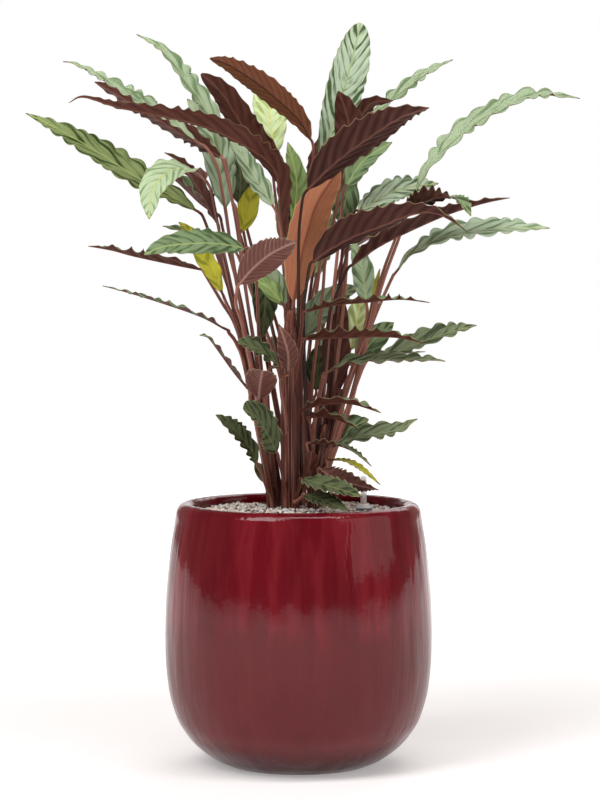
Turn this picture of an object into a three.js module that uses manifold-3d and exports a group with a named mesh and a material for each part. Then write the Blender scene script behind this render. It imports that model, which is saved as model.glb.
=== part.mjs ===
// A potted velvet calathea: long wavy leaves on reddish stalks, in a glazed pot filled with gravel.
// Millimetres, +Z up, the viewer stands at -Y. The origin is the centre of the pot's underside.
import * as THREE from 'three';
import { mergeVertices } from 'three/addons/utils/BufferGeometryUtils.js';
import Module from 'manifold-3d';

const wasm = await Module();
wasm.setup();

// Pot
const POT_SIDES = 36;
const POT_HEIGHT = 263;
const POT_OUTSIDE = [
  [71, 0], [84, 4.5], [98, 15], [109, 26], [119, 40], [126.5, 58], [131.5, 79], [134, 110], [134, 146],
  [132.2, 180], [129, 214], [124.5, 243], [122, 256], [118.5, 261.5],
];
const POT_LIP = [[113, POT_HEIGHT], [108, 262], [105, 258.5], [105, 252]];
const POT_FLOOR = 14;
const POT_INSIDE = [[116, 225], [121, 180], [123, 130], [119, 85], [108, 48], [90, 24], [66, 14]];

// Gravel fill
const GRAVEL_LEVEL = 252;
const GRAVEL_RINGS = 6;
const GRAVEL_RELIEF = 1.6;
const GRAVEL_WAVES = { x: 0.31, y: 0.27 };
const LEVEL_ROUND_GAUGE = 28;
const GRAVEL_RADIUS = 104.5;
const WALL_GAP = 0.35;
const HOLE_GAP = 0.4;
const HOLE_OVERRUN = 10;

// Water level gauge
const GAUGE = { x: 66, y: 31, sides: 12, top: 287, foot: 214 };
const TUBE_RADIUS = 3.25;
const TUBE_WALL = 0.9;
const TUBE_DOME = 2;
const COLLAR = [[8.4, 0], [8.4, 1.5], [7, 4.2], [4.4, 6.5]];
const FLOAT_RADIUS = 1.7;
const FLOAT_TOP = 264;

// Foliage
const BASE_TAPER = 0.65;
const BLADE_ENDS = [0.012, 0.985];
const BLADE_EDGE = 0.7;
const BLADE_RIB = 1.3;
const WAVE_HEIGHT = 2.6;
const WAVE_STEP = 13;
const WAVE_FULL_AT = 8;
const LEAST_HALF_WIDTH = 1.3;
const SEAT_GAP = 0.3;
const STALK_SIDES = 4;
const STALK_RUN_IN = 45;
const STALK_RUN_OUT = 5;
const STALK_SUNK = 2;
const LOWEST_START = 263;
const BELOW_CORE_TOP = 4;
const STALK_TOP = 1.45;
const STALK_FOOT = 2.5;
const CORE_SIDES = 8;

// The sheathed foot of each shoot: centre line from the gravel up, and the radius at each point
const CORES = {
  centre: [[-6, 22, 236, 10], [-6, 22, 262, 10], [-7, 22, 320, 8.5], [-8, 22, 400, 6.5]],
  centre_back: [[0, 56, 236, 9], [0, 56, 262, 9], [-4, 58, 330, 6.5], [-8, 60, 410, 4]],
  left_front: [[-26, 34, 236, 8.5], [-26, 34, 262, 8.5], [-34, 32, 320, 6.5], [-44, 28, 380, 4]],
  left_back: [[-22, 62, 236, 9], [-22, 62, 262, 9], [-32, 60, 330, 6.5], [-44, 56, 400, 4]],
  right_front: [[15, 26, 236, 8], [15, 26, 262, 8], [20, 24, 300, 5.5], [27, 22, 340, 4]],
  right_back: [[21, 56, 236, 7.5], [21, 56, 262, 7.5], [29, 48, 320, 5.5], [42, 42, 375, 4]],
  back: [[0, 86, 236, 8], [0, 86, 262, 8], [-2, 94, 310, 5.5], [-4, 102, 350, 4]],
};

// A leaf row: name, shoot, finish, width, tip, fold, then the ways its top faces from base to tip, its
// midrib from base to tip, and its stalk from the shoot up to the base. Tip is the taper (0.5 blunt,
// 1 long); fold is how far each half rises from the midrib, in degrees.
// Large leaves, each a piece of its own.
const LEAVES = [
  ['left_01', 'left_back', 'green', 35, 1, 17, [[0.1, -0.6, 0.8], [0.1, -0.8, 0.6]],
    [[-104, 22, 556], [-130, 24, 571], [-162, 28, 588], [-201, 34, 613], [-242, 40, 637], [-276, 46, 654]],
    [[-59, 40, 434], [-77, 33, 495], [-90, 28, 533], [-96, 24, 549]]],
  ['left_02', 'left_back', 'pale', 36, 0.8, 12,
    [[0, 0.2, 1], [-0.1, -0.6, 0.8], [-0.35, -0.9, 0.2], [-0.3, -0.95, 0]],
    [[-94, 20, 586], [-100, 12, 593], [-110, 0, 597], [-123, -15, 596], [-134, -28, 589], [-144, -38, 575],
      [-147, -44, 547]],
    [[-61, 45, 444], [-80, 30, 535], [-87, 24, 572]]],
  ['left_03', 'left_back', 'pale', 28, 1, 14, [[0.2, -0.4, 0.9], [0.2, -0.35, 0.9]],
    [[-104, 30, 626], [-140, 22, 654], [-180, 16, 677], [-220, 10, 700], [-235, 8, 704]],
    [[-60, 52, 464], [-75, 46, 561], [-82, 36, 599], [-92, 32, 618]]],
  ['left_04', 'left_back', 'green', 34, 0.75, 18, [[0.2, 0.7, 0.7], [0.2, 0.7, 0.7]],
    [[-78, 44, 609], [-116, 62, 632], [-174, 92, 667], [-210, 106, 688]],
    [[-50, 55, 450], [-62, 50, 549], [-67, 48, 566], [-73, 46, 602]]],
  ['left_05', 'left_back', 'pale', 27, 1, 20, [[0.6, -0.6, 0.5], [0.6, -0.6, 0.5]],
    [[-78, 60, 610], [-89, 63, 648], [-110, 66, 681], [-137, 70, 717], [-165, 74, 735]],
    [[-50, 58, 450], [-63, 57, 540], [-73, 59, 592]]],
  ['left_06', 'centre_back', 'green', 36, 1.1, 28,
    [[0.9, 0.4, 0.1], [0.7, 0.5, 0.4], [0.2, 0.5, 0.85], [0, 0.5, 0.85]],
    [[-14, 46, 526], [-18, 42, 551], [-20, 36, 576], [-23, 27, 594], [-33, 17, 607], [-54, 5, 620],
      [-84, 0, 635], [-118, -8, 645], [-178, -16, 657], [-212, -20, 667], [-227, -22, 662]],
    [[-6, 52, 360], [-10, 50, 464]]],
  ['left_07', 'centre_back', 'green', 33, 0.6, 14, [[0.3, 0.85, 0.4], [0.3, 0.85, 0.4]],
    [[-13, 58, 578], [-29, 55, 607], [-43, 51, 624], [-59, 46, 645], [-77, 40, 673], [-98, 34, 693]],
    [[-8, 56, 480], [-10, 58, 560]]],
  ['left_08', 'centre_back', 'green', 30, 0.7, 12, [[0.3, 0.8, 0.5], [0.3, 0.8, 0.5]],
    [[12, 60, 628], [3, 56, 644], [-9, 52, 657], [-24, 47, 670], [-39, 42, 682], [-54, 37, 692],
      [-71, 31, 702], [-89, 26, 708]],
    [[2, 56, 440], [8, 58, 540], [14, 60, 596], [15, 60, 612]]],
  ['left_09', 'centre_back', 'yellow', 36, 0.4, 10, [[0.1, -0.95, 0.3], [0.1, -0.6, 0.8]],
    [[-27, 94, 610], [-27, 100, 630], [-29, 108, 649], [-30, 120, 667], [-30, 148, 672]],
    [[-12, 72, 460], [-25, 92, 580]]],
  ['left_10', 'left_back', 'green', 26, 1, 14, [[0.6, 0.5, 0.6], [0.6, 0.5, 0.6]],
    [[-83, 38, 544], [-95, 36, 568], [-108, 34, 590], [-120, 33, 605], [-135, 32, 614]],
    [[-60, 46, 440], [-78, 40, 520]]],
  ['left_11', 'left_back', 'green', 32, 0.9, 32, [[0.2, -0.15, 1], [0.2, -0.15, 1]],
    [[-84, 62, 552], [-100, 66, 563], [-115, 68, 577], [-126, 69, 587], [-143, 70, 601]],
    [[-56, 60, 450], [-76, 60, 532]]],
  ['left_12', 'left_back', 'pale', 34, 0.8, 15, [[0.25, -0.9, 0.3], [0.25, -0.9, 0.3]],
    [[-75, 84, 559], [-80, 94, 592], [-85, 102, 618], [-94, 108, 643], [-115, 112, 671]],
    [[-48, 62, 400], [-66, 72, 500]]],
  ['left_13', 'centre_back', 'dark', 30, 0.8, 15, [[0, -1, 0.1], [0, -1, 0.1]],
    [[-61, 104, 563], [-60, 116, 590], [-63, 124, 609], [-74, 130, 627]],
    [[-34, 76, 420], [-54, 90, 520]]],
  ['left_14', 'centre_back', 'pale', 24, 1, 12, [[0.4, -0.8, 0.4], [0.4, -0.8, 0.4]],
    [[-26, 66, 560], [-45, 76, 589], [-60, 84, 616], [-75, 90, 635]],
    [[-8, 62, 440], [-17, 62, 530], [-21, 63, 548]]],
  ['left_15', 'centre_back', 'green', 24, 0.9, 18, [[0.1, -1, 0.2], [0.1, -1, 0.2]],
    [[-6, 80, 544], [-2, 86, 577], [-4, 90, 598], [-11, 96, 626]],
    [[-4, 66, 400], [-6, 74, 500]]],
  ['top_01', 'centre_back', 'pale', 39, 0.5, 8, [[0.15, -1, 0.1], [0.15, -1, 0.1]],
    [[22, 86, 612], [32, 90, 634], [44, 95, 670], [54, 98, 706], [64, 100, 748]],
    [[3, 66, 400], [6, 72, 500], [14, 80, 580]]],
  ['top_02', 'centre', 'green', 47, 0.9, 24, [[0.1, 0.6, 0.8], [0.1, 0.6, 0.8]],
    [[10, 12, 577], [26, 0, 593], [46, -18, 610], [70, -42, 627], [99, -72, 645], [126, -96, 654]],
    [[-1, 22, 400], [0, 16, 486], [0, 12, 516], [1, 10, 541], [4, 10, 566]]],
  ['top_03', 'centre_back', 'green', 34, 0.8, 12, [[0.1, 0.9, 0.3], [0.1, 0.9, 0.3]],
    [[43, 50, 583], [52, 54, 617], [51, 54, 643], [46, 48, 661], [40, 40, 676]],
    [[14, 48, 380], [24, 44, 466], [28, 44, 515], [36, 46, 547], [40, 48, 566]]],
  ['top_04', 'right_back', 'green', 22, 0.9, 12, [[-0.3, 0.8, 0.5], [-0.3, 0.8, 0.5]],
    [[55, 72, 607], [61, 70, 643], [73, 64, 664], [96, 58, 667]],
    [[44, 56, 440], [52, 70, 560]]],
  ['top_05', 'centre', 'young', 40, 0.6, 20, [[0, 1, 0.1], [0, 1, 0.1]],
    [[-5, 25, 465], [3, 25, 511], [11, 25, 541], [20, 26, 566], [41, 28, 598]],
    [[-6, 24, 410], [-6, 25, 440]]],
  ['right_01', 'right_front', 'pale', 34, 1, 14, [[-0.25, -0.4, 0.87], [-0.25, -0.4, 0.87]],
    [[117, 20, 574], [133, 24, 602], [168, 30, 637], [219, 38, 666], [250, 44, 672], [285, 50, 669]],
    [[54, 32, 364], [80, 25, 476], [97, 22, 526], [106, 20, 551], [113, 20, 567]]],
  ['right_02', 'right_back', 'pale', 26, 1, 12, [[-0.3, -0.4, 0.85], [-0.3, -0.4, 0.85]],
    [[75, 94, 655], [99, 96, 672], [130, 100, 696], [159, 104, 711]],
    [[38, 66, 440], [50, 86, 560], [66, 93, 640]]],
  ['right_03', 'right_front', 'green', 26, 0.9, 16, [[-0.2, -0.9, 0.4], [-0.2, -0.9, 0.4]],
    [[48, 36, 580], [60, 34, 599], [72, 30, 611], [94, 24, 624]],
    [[30, 30, 420], [42, 36, 540]]],
  ['right_04', 'right_back', 'green', 28, 0.6, 12, [[0, -0.9, 0.3], [0, -1, 0]],
    [[53, 60, 588], [48, 55, 567], [42, 52, 544]],
    [[42, 62, 460], [56, 88, 560], [60, 84, 594], [57, 69, 602]]],
  ['right_05', 'right_back', 'pale', 30, 0.9, 12, [[-0.1, -0.8, 0.6], [-0.1, -0.8, 0.6]],
    [[60, 44, 554], [78, 46, 565], [103, 48, 577], [142, 52, 583]],
    [[34, 40, 380], [40, 40, 468], [48, 40, 508]]],
  ['right_06', 'right_front', 'green', 34, 0.9, 16, [[0, 0.5, 0.85], [0, 0.4, 0.9], [0.3, -0.6, 0.75]],
    [[108, 8, 557], [121, -4, 563], [140, -24, 569], [158, -44, 565], [169, -56, 550]],
    [[52, 28, 360], [82, 18, 474], [102, 11, 532]]],
  ['right_07', 'right_front', 'green', 44, 1.3, 36, [[0.2, 0.6, 0.75], [0.2, 0.6, 0.75], [0.1, 0, 1]],
    [[15, 2, 504], [29, -8, 515], [54, -28, 529], [80, -50, 539], [107, -66, 550], [130, -76, 553],
      [149, -84, 545], [164, -90, 534]],
    [[6, 16, 400], [5, 10, 452], [8, 6, 480]]],
  ['right_08', 'right_front', 'green', 34, 1, 26, [[0, 0.25, 0.97], [0, 0.25, 0.97]],
    [[54, 12, 501], [79, 0, 519], [106, -12, 533], [137, -15, 547], [158, -17, 555], [185, -20, 563],
      [209, -24, 568]],
    [[29, 22, 434], [37, 18, 468], [46, 15, 490]]],
  ['right_09', 'right_front', 'pale', 32, 1, 16, [[-0.1, -0.55, 0.83], [-0.1, -0.55, 0.83]],
    [[99, 16, 495], [112, 12, 511], [146, 4, 529], [198, -4, 537], [250, -10, 538]],
    [[48, 28, 370], [72, 24, 436], [85, 20, 468], [95, 17, 490]]],
  ['right_10', 'right_back', 'green', 23, 0.8, 12, [[0, -1, 0.15], [0, -1, 0.15]],
    [[69, 46, 461], [67, 46, 480], [64, 44, 500], [55, 42, 524]],
    [[50, 42, 380], [68, 46, 440]]],
  ['right_11', 'centre', 'green', 30, 1, 14, [[0, 0.1, 1], [0, 0.1, 1]],
    [[8, -6, 455], [36, -22, 462], [66, -32, 465], [100, -42, 468], [129, -48, 465]],
    [[-2, 14, 400], [4, 0, 446]]],
  ['right_12', 'centre', 'green', 34, 1, 26, [[0, 0.15, 1], [0, 0.15, 1]],
    [[8, -4, 427], [29, -16, 429], [54, -28, 430], [79, -38, 431], [101, -46, 430], [123, -52, 425]],
    [[-2, 14, 380], [4, 2, 420]]],
  ['right_13', 'right_front', 'green', 32, 0.9, 18, [[-0.1, -0.55, 0.83], [-0.1, -0.55, 0.83]],
    [[82, 20, 406], [112, 12, 419], [147, 4, 432], [178, -2, 441]],
    [[53, 28, 365], [68, 26, 403]]],
  ['right_14', 'right_front', 'green', 30, 0.9, 14, [[0, -0.3, 0.95], [0, -0.3, 0.95]],
    [[30, 4, 394], [51, -6, 404], [91, -16, 407], [131, -22, 407], [146, -24, 406]],
    [[16, 16, 340], [24, 8, 385]]],
  ['right_15', 'right_back', 'green', 30, 0.9, 14, [[-0.1, -0.9, 0.4], [-0.1, -0.9, 0.4]],
    [[61, 60, 403], [75, 58, 422], [97, 54, 442]],
    [[46, 54, 370], [54, 58, 390]]],
  ['right_16', 'centre_back', 'pale', 30, 0.8, 12, [[-0.1, -0.9, 0.4], [-0.1, -0.9, 0.4]],
    [[5, 74, 426], [19, 77, 450], [39, 81, 468], [62, 84, 477]],
    [[0, 62, 350], [2, 71, 400]]],
  ['mid_01', 'left_front', 'green', 34, 0.9, 14, [[0.3, 0.8, 0.5], [0.3, 0.8, 0.5]],
    [[-58, -34, 483], [-46, -50, 497], [-30, -72, 511], [-16, -92, 519], [-2, -112, 525]],
    [[-44, 20, 380], [-56, 0, 440], [-62, -18, 462], [-61, -28, 476]]],
  ['mid_02', 'left_front', 'green', 30, 0.8, 14, [[0, -0.85, 0.5], [0, -0.85, 0.5]],
    [[-54, -12, 518], [-76, -28, 522], [-97, -42, 523], [-131, -60, 520], [-151, -70, 512]],
    [[-38, 22, 400], [-42, 8, 480], [-46, -4, 508]]],
  ['mid_03', 'left_front', 'green', 30, 1, 20, [[0, 0.15, 1], [0, 0.15, 1]],
    [[-100, 10, 497], [-126, 8, 502], [-164, 4, 510], [-187, 2, 516], [-210, 0, 520]],
    [[-43, 34, 364], [-62, 28, 435], [-77, 20, 463], [-95, 12, 494]]],
  ['mid_04', 'left_front', 'green', 26, 1, 8, [[0, -0.1, 1], [0, -0.1, 1]],
    [[-74, 14, 437], [-98, 4, 450], [-140, -10, 465], [-172, -20, 475], [-194, -26, 481]],
    [[-53, 28, 392], [-62, 20, 421], [-70, 16, 433]]],
  ['mid_05', 'left_front', 'green', 22, 0.9, 14, [[0.7, 0, 0.7], [0.7, 0, 0.7]],
    [[-51, -4, 378], [-65, -16, 396], [-78, -30, 415], [-89, -42, 430], [-97, -50, 433]],
    [[-36, 16, 312], [-42, 8, 342], [-48, 0, 366]]],
  ['mid_06', 'left_front', 'dark', 30, 0.8, 14, [[0.2, -0.6, 0.8], [0.2, -0.6, 0.8]],
    [[-20, -6, 401], [-38, -22, 416], [-61, -36, 426]],
    [[-31, 16, 360], [-29, 4, 396]]],
  ['mid_07', 'centre', 'green', 21, 1.1, 14, [[0, 1, 0.3], [0, 1, 0.3]],
    [[-10, -14, 396], [-11, -34, 417], [-19, -52, 444]],
    [[-12, 12, 340], [-17, 2, 374], [-17, -6, 388]]],
  ['mid_08', 'left_front', 'green', 32, 0.5, 14, [[0.1, 0.8, 0.6], [0.1, 0.8, 0.6]],
    [[-39, -14, 368], [-38, -40, 382], [-35, -74, 399]],
    [[-36, 8, 330], [-39, -4, 358]]],
  ['mid_09', 'centre', 'dark', 38, 0.5, 12, [[-0.1, -0.8, 0.6], [-0.1, -0.8, 0.6]],
    [[-22, -12, 315], [-31, -30, 334], [-41, -50, 351], [-54, -68, 361]],
    [[-16, 6, 290], [-20, -6, 307]]],
  ['mid_10', 'left_front', 'dark', 26, 0.8, 12, [[0.2, -0.7, 0.7], [0.2, -0.7, 0.7]],
    [[-42, 8, 302], [-48, 0, 316], [-61, -14, 334], [-82, -30, 353]],
    [[-32, 22, 275], [-37, 14, 290]]],
  ['front_01', 'right_front', 'green', 26, 0.9, 22, [[0, 0.15, 1], [0, 0.15, 1]],
    [[6, -10, 357], [23, -24, 363], [51, -42, 365], [81, -58, 357]],
    [[8, 10, 300], [5, -4, 350]]],
  ['front_02', 'right_front', 'green', 30, 0.9, 16, [[-0.1, -0.5, 0.85], [-0.1, -0.5, 0.85]],
    [[38, 6, 320], [63, -6, 330], [99, -20, 337], [118, -28, 349]],
    [[20, 20, 288], [27, 14, 310], [34, 8, 322]]],
];

// Smaller leaves, each grown together with its shoot.
const JOINED_LEAVES = [
  ['dark_back', 'right_back', 'dark', 30, 0.8, 14, [[0, 1, 0.1], [0, 1, 0.1]],
    [[37, 54, 369], [38, 56, 399], [39, 58, 429], [47, 60, 462]], [[28, 50, 320], [34, 52, 350]]],
  ['olive', 'centre_back', 'yellow', 22, 0.7, 10, [[0, -1, 0.1], [0, -1, 0.1]],
    [[-59, 84, 534], [-53, 88, 554], [-46, 92, 582]], [[-36, 74, 420], [-57, 82, 520]]],
  ['bright_behind', 'right_back', 'yellow', 26, 0.7, 12, [[0, -1, 0.1], [0, -1, 0.1]],
    [[53, 76, 413], [59, 80, 438], [65, 86, 468]], [[36, 58, 360], [50, 72, 400]]],
  ['yellow_low', 'right_back', 'yellow', 18, 0.7, 10, [[0, -1, 0.1], [0, -1, 0.1]],
    [[40, 60, 334], [38, 64, 352], [36, 70, 374]], [[30, 54, 300], [38, 58, 324]]],
  ['dark_behind', 'centre_back', 'dark', 26, 0.7, 12, [[0, -1, 0.1], [0, -1, 0.1]],
    [[18, 74, 372], [20, 78, 396], [22, 82, 418]], [[4, 62, 330], [14, 70, 360]]],
  ['yellow_left', 'left_front', 'yellow', 20, 0.8, 10, [[0.3, -0.9, 0.3], [0.3, -0.9, 0.3]],
    [[-77, 8, 474], [-86, 2, 494], [-96, -3, 511], [-108, -8, 533], [-119, -10, 544]],
    [[-50, 26, 400], [-62, 18, 440], [-73, 12, 464]]],
  ['small_left', 'left_front', 'green', 18, 0.9, 12, [[0, -0.4, 0.9], [0, -0.4, 0.9]],
    [[-84, 12, 518], [-106, 12, 532], [-136, 10, 540]], [[-60, 24, 430], [-76, 14, 500]]],
  ['drooping', 'centre_back', 'dark', 28, 0.9, 12, [[0, -0.4, 0.9], [0, -0.9, 0.3], [0, -1, 0]],
    [[-21, 72, 503], [-33, 68, 490], [-34, 68, 462], [-37, 72, 425]], [[-6, 62, 420], [-13, 70, 490]]],
  ['grey_small', 'centre_back', 'pale', 22, 0.8, 12, [[0.1, -1, 0.2], [0.1, -1, 0.2]],
    [[-15, 50, 459], [-21, 50, 477], [-31, 52, 501]], [[-8, 52, 400], [-12, 50, 445]]],
  ['bright_small', 'centre_back', 'green', 20, 0.8, 12, [[0.2, -0.8, 0.5], [0.2, -0.8, 0.5]],
    [[-17, 40, 462], [-31, 40, 478], [-47, 40, 487]], [[-8, 48, 400], [-13, 42, 446]]],
  ['small_low', 'left_front', 'dark', 12, 0.7, 10, [[0.2, -1, 0.2], [0.2, -1, 0.2]],
    [[-33, 32, 280], [-38, 32, 291], [-44, 34, 301]], [[-30, 32, 272]]],
  ['front_small', 'right_front', 'green', 28, 0.9, 22, [[0, 0.25, 0.95], [0, 0.25, 0.95]],
    [[12, -2, 349], [32, -20, 350], [58, -40, 341]], [[14, 14, 300], [11, 4, 340]]],
  ['front_behind', 'right_front', 'green', 26, 0.8, 12, [[0, -0.7, 0.7], [0, -0.7, 0.7]],
    [[37, 34, 323], [54, 30, 336], [71, 24, 345]], [[24, 30, 290], [32, 34, 312]]],
  ['front_twist', 'right_front', 'dark', 18, 1, 14, [[0, 0.3, 1], [0, 0.2, 1], [0, 0.1, 1]],
    [[12, -6, 323], [32, -22, 324], [53, -40, 318], [72, -56, 304]], [[12, 12, 280], [10, -2, 312]]],
  ['front_yellow', 'right_front', 'yellow', 12, 1, 10, [[0, -0.1, 1], [0, -0.1, 1]],
    [[31, 6, 306], [46, -10, 306], [61, -28, 300], [81, -48, 285]], [[20, 18, 275], [28, 10, 298]]],
  ['front_purple', 'right_front', 'green', 26, 0.9, 16, [[0.1, 0.9, 0.4], [0.1, 0.9, 0.4], [0, 0.5, 0.8]],
    [[23, -8, 296], [41, -26, 287], [59, -44, 284], [79, -62, 281]], [[16, 14, 270], [19, -1, 288]]],
  ['front_dark', 'centre', 'dark', 26, 0.9, 12, [[0, -0.6, 0.8], [0, -0.6, 0.8]],
    [[4, -14, 288], [22, -38, 285], [42, -62, 281], [62, -82, 276]], [[-2, 8, 268], [2, -6, 281]]],
  ['front_low', 'centre', 'dark', 22, 1, 10, [[0, -0.6, 0.8], [0, -0.6, 0.8]],
    [[7, -12, 272], [20, -34, 270], [35, -56, 266], [50, -74, 261]], [[-4, 8, 262], [4, -4, 269]]],
  ['front_folded', 'right_front', 'green', 16, 0.7, 26, [[0.2, 0.8, 0.3], [0.2, 0.8, 0.3]],
    [[10, -12, 296], [12, -20, 306], [13, -26, 316]], [[12, 6, 274], [10, -6, 288]]],
  ['rear_01', 'back', 'green', 36, 0.9, 18, [[0, 0.3, 0.95], [0, 0.3, 0.95]],
    [[-4, 132, 500], [-8, 190, 550], [-10, 250, 580]], [[-6, 110, 400]]],
  ['rear_02', 'back', 'green', 34, 0.9, 20, [[0, 0.1, 1], [0, 0.1, 1]],
    [[0, 150, 420], [4, 210, 446], [6, 280, 444]], [[0, 116, 360]]],
  ['rear_03', 'back', 'dark', 34, 0.9, 20, [[0, 0.1, 1], [0, 0.1, 1]],
    [[-24, 146, 400], [-38, 200, 416], [-50, 266, 406]], [[-8, 116, 350]]],
  ['rear_04', 'back', 'green', 34, 0.9, 20, [[0, 0.1, 1], [0, 0.1, 1]],
    [[28, 134, 400], [38, 200, 424], [46, 268, 420]], [[8, 112, 350]]],
  ['rear_05', 'back', 'green', 36, 0.9, 18, [[0, 0.4, 0.9], [0, 0.4, 0.9]],
    [[18, 140, 486], [24, 196, 532], [30, 258, 556]], [[4, 112, 400]]],
  ['rear_06', 'back', 'green', 32, 0.9, 20, [[0, 0.1, 1], [0, 0.1, 1]],
    [[-36, 140, 478], [-46, 200, 512], [-56, 262, 516]], [[-14, 112, 400]]],
  ['rear_07', 'back', 'dark', 30, 0.9, 16, [[0, -0.2, 1], [0, 0.3, 1]],
    [[30, 148, 326], [36, 196, 336], [42, 250, 322]], [[8, 110, 300]]],
  ['rear_08', 'back', 'dark', 30, 0.9, 16, [[0, -0.2, 1], [0, 0.3, 1]],
    [[-16, 150, 326], [-20, 200, 334], [-25, 252, 318]], [[-4, 112, 300]]],
  ['rear_09', 'back', 'green', 36, 0.7, 14, [[0, 0.9, 0.4], [0, 0.9, 0.4]],
    [[22, 130, 556], [27, 172, 604], [35, 220, 644]], [[4, 108, 400], [16, 116, 500]]],
  ['rear_10', 'back', 'green', 26, 1, 16, [[0, 0.5, 0.8], [0, 0.5, 0.8]],
    [[-80, 150, 616], [-126, 190, 644], [-184, 226, 668]], [[-20, 112, 400], [-60, 134, 560]]],
  ['rear_11', 'back', 'green', 28, 0.9, 16, [[0, 0.8, 0.5], [0, 0.8, 0.5]],
    [[36, 118, 586], [65, 160, 620], [100, 205, 649]], [[10, 104, 400], [28, 110, 540]]],
  ['rear_12', 'back', 'green', 26, 1, 20, [[0, 0.2, 1], [0, 0.2, 1]],
    [[50, 108, 514], [92, 155, 536], [138, 205, 550]], [[12, 100, 380], [38, 102, 480]]],
  ['rear_13', 'back', 'green', 26, 1, 16, [[0, 0, 1], [0, 0, 1]],
    [[-68, 118, 512], [-108, 148, 521], [-156, 185, 517]], [[-18, 104, 380], [-52, 114, 480]]],
  ['rear_14', 'back', 'green', 24, 1, 16, [[0, 0, 1], [0, 0, 1]],
    [[44, 100, 394], [86, 138, 404], [134, 175, 407]], [[10, 96, 320], [34, 96, 374]]],
];

// A furled young leaf that has not opened yet: its shoot and its centre line
const SPEAR = {
  shoot: 'right_front',
  line: [[52, 34, 364], [70, 30, 440], [76, 28, 470], [79, 28, 484], [82, 28, 497]],
  radii: [2.5, 1.8, 1.6, 2.2, 2.8, 0.6],
};

// Finishes
const GLAZE = { color: 0x6f1420, roughness: 0.14 };
const PUMICE = { color: 0xc9beb2, roughness: 0.95 };
const STALK = { color: 0x7a3f33, roughness: 0.7 };
const BLADES = {
  green: { color: 0x6f8a5c, roughness: 0.62 },
  pale: { color: 0x9fb795, roughness: 0.6 },
  dark: { color: 0x3c4a2c, roughness: 0.65 },
  yellow: { color: 0xa9a83c, roughness: 0.6 },
  young: { color: 0xb06f52, roughness: 0.6 },
};
const CLEAR_TUBE = { color: 0xd8dadc, roughness: 0.15 };
const GREY_COLLAR = { color: 0xb9babd, roughness: 0.4 };
const ORANGE_FLOAT = { color: 0xd4572a, roughness: 0.5 };

const vec = (p) => new THREE.Vector3(p[0], p[1], p[2]);
const curveThrough = (points) => new THREE.CatmullRomCurve3(points.map(vec), false, 'catmullrom', 0.5);

// A closed solid from rings of points that all have the same count. The rings run along the piece. The
// sides listed as flipped have their facets split the other way, so both faces of a blade match.
function solidFromRings(rings, flipped = []) {
  const count = rings[0].length;
  const positions = rings.flat().flatMap((p) => [p.x, p.y, p.z]);
  const faces = [];
  for (let ring = 0; ring < rings.length - 1; ring += 1) {
    for (let side = 0; side < count; side += 1) {
      const a = ring * count + side;
      const b = ring * count + ((side + 1) % count);
      const c = a + count;
      const d = b + count;
      if (flipped.includes(side)) faces.push(a, b, c, b, d, c);
      else faces.push(a, b, d, a, d, c);
    }
  }
  const last = (rings.length - 1) * count;
  for (let side = 1; side < count - 1; side += 1) {
    faces.push(0, side + 1, side);
    faces.push(last, last + side, last + side + 1);
  }
  const geometry = new THREE.BufferGeometry();
  geometry.setAttribute('position', new THREE.Float32BufferAttribute(positions, 3));
  geometry.setIndex(faces);
  return geometry;
}

function toManifold(geometry) {
  const bare = geometry.clone();
  for (const name of Object.keys(bare.attributes)) {
    if (name !== 'position') bare.deleteAttribute(name);
  }
  const merged = mergeVertices(bare, 1e-4);
  const vertProperties = Float32Array.from(merged.attributes.position.array);
  const triVerts = Uint32Array.from(merged.index.array);
  return new wasm.Manifold(new wasm.Mesh({ numProp: 3, vertProperties, triVerts }));
}

function toGeometry(manifold) {
  const mesh = manifold.getMesh();
  const geometry = new THREE.BufferGeometry();
  geometry.setAttribute('position', new THREE.Float32BufferAttribute(mesh.vertProperties, 3));
  geometry.setIndex([...mesh.triVerts]);
  return geometry;
}

// Lathe profiles run along X as radius and Y as height; the turned solid stands up along +Z.
function turned(profile, sides) {
  const points = profile.map(([radius, height]) => new THREE.Vector2(radius, height));
  return new THREE.LatheGeometry(points, sides).rotateX(Math.PI / 2);
}

function named(name, geometry, { color, roughness }) {
  geometry.computeVertexNormals();
  const mesh = new THREE.Mesh(geometry, new THREE.MeshStandardMaterial({ color, roughness, metalness: 0 }));
  mesh.name = name;
  return mesh;
}

// Half width of a blade along its length, 0 at the base to 1 at the tip, as a share of the widest half.
function bladeProfile(along, tip) {
  const widest = BASE_TAPER / (BASE_TAPER + tip);
  const shape = (t) => t ** BASE_TAPER * (1 - t) ** tip;
  return shape(along) / shape(widest);
}

// Point, along, up and across directions of a leaf's midrib at a place along its length.
function midribFrame(curve, faces, along) {
  const here = curve.getPointAt(along);
  const ahead = curve.getTangentAt(along);
  const place = along * (faces.length - 1);
  const index = Math.min(Math.floor(place), faces.length - 2);
  const up = vec(faces[index]).lerp(vec(faces[index + 1]), place - index);
  up.addScaledVector(ahead, -up.dot(ahead)).normalize();
  const across = new THREE.Vector3().crossVectors(ahead, up);
  return { here, ahead, up, across };
}

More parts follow.
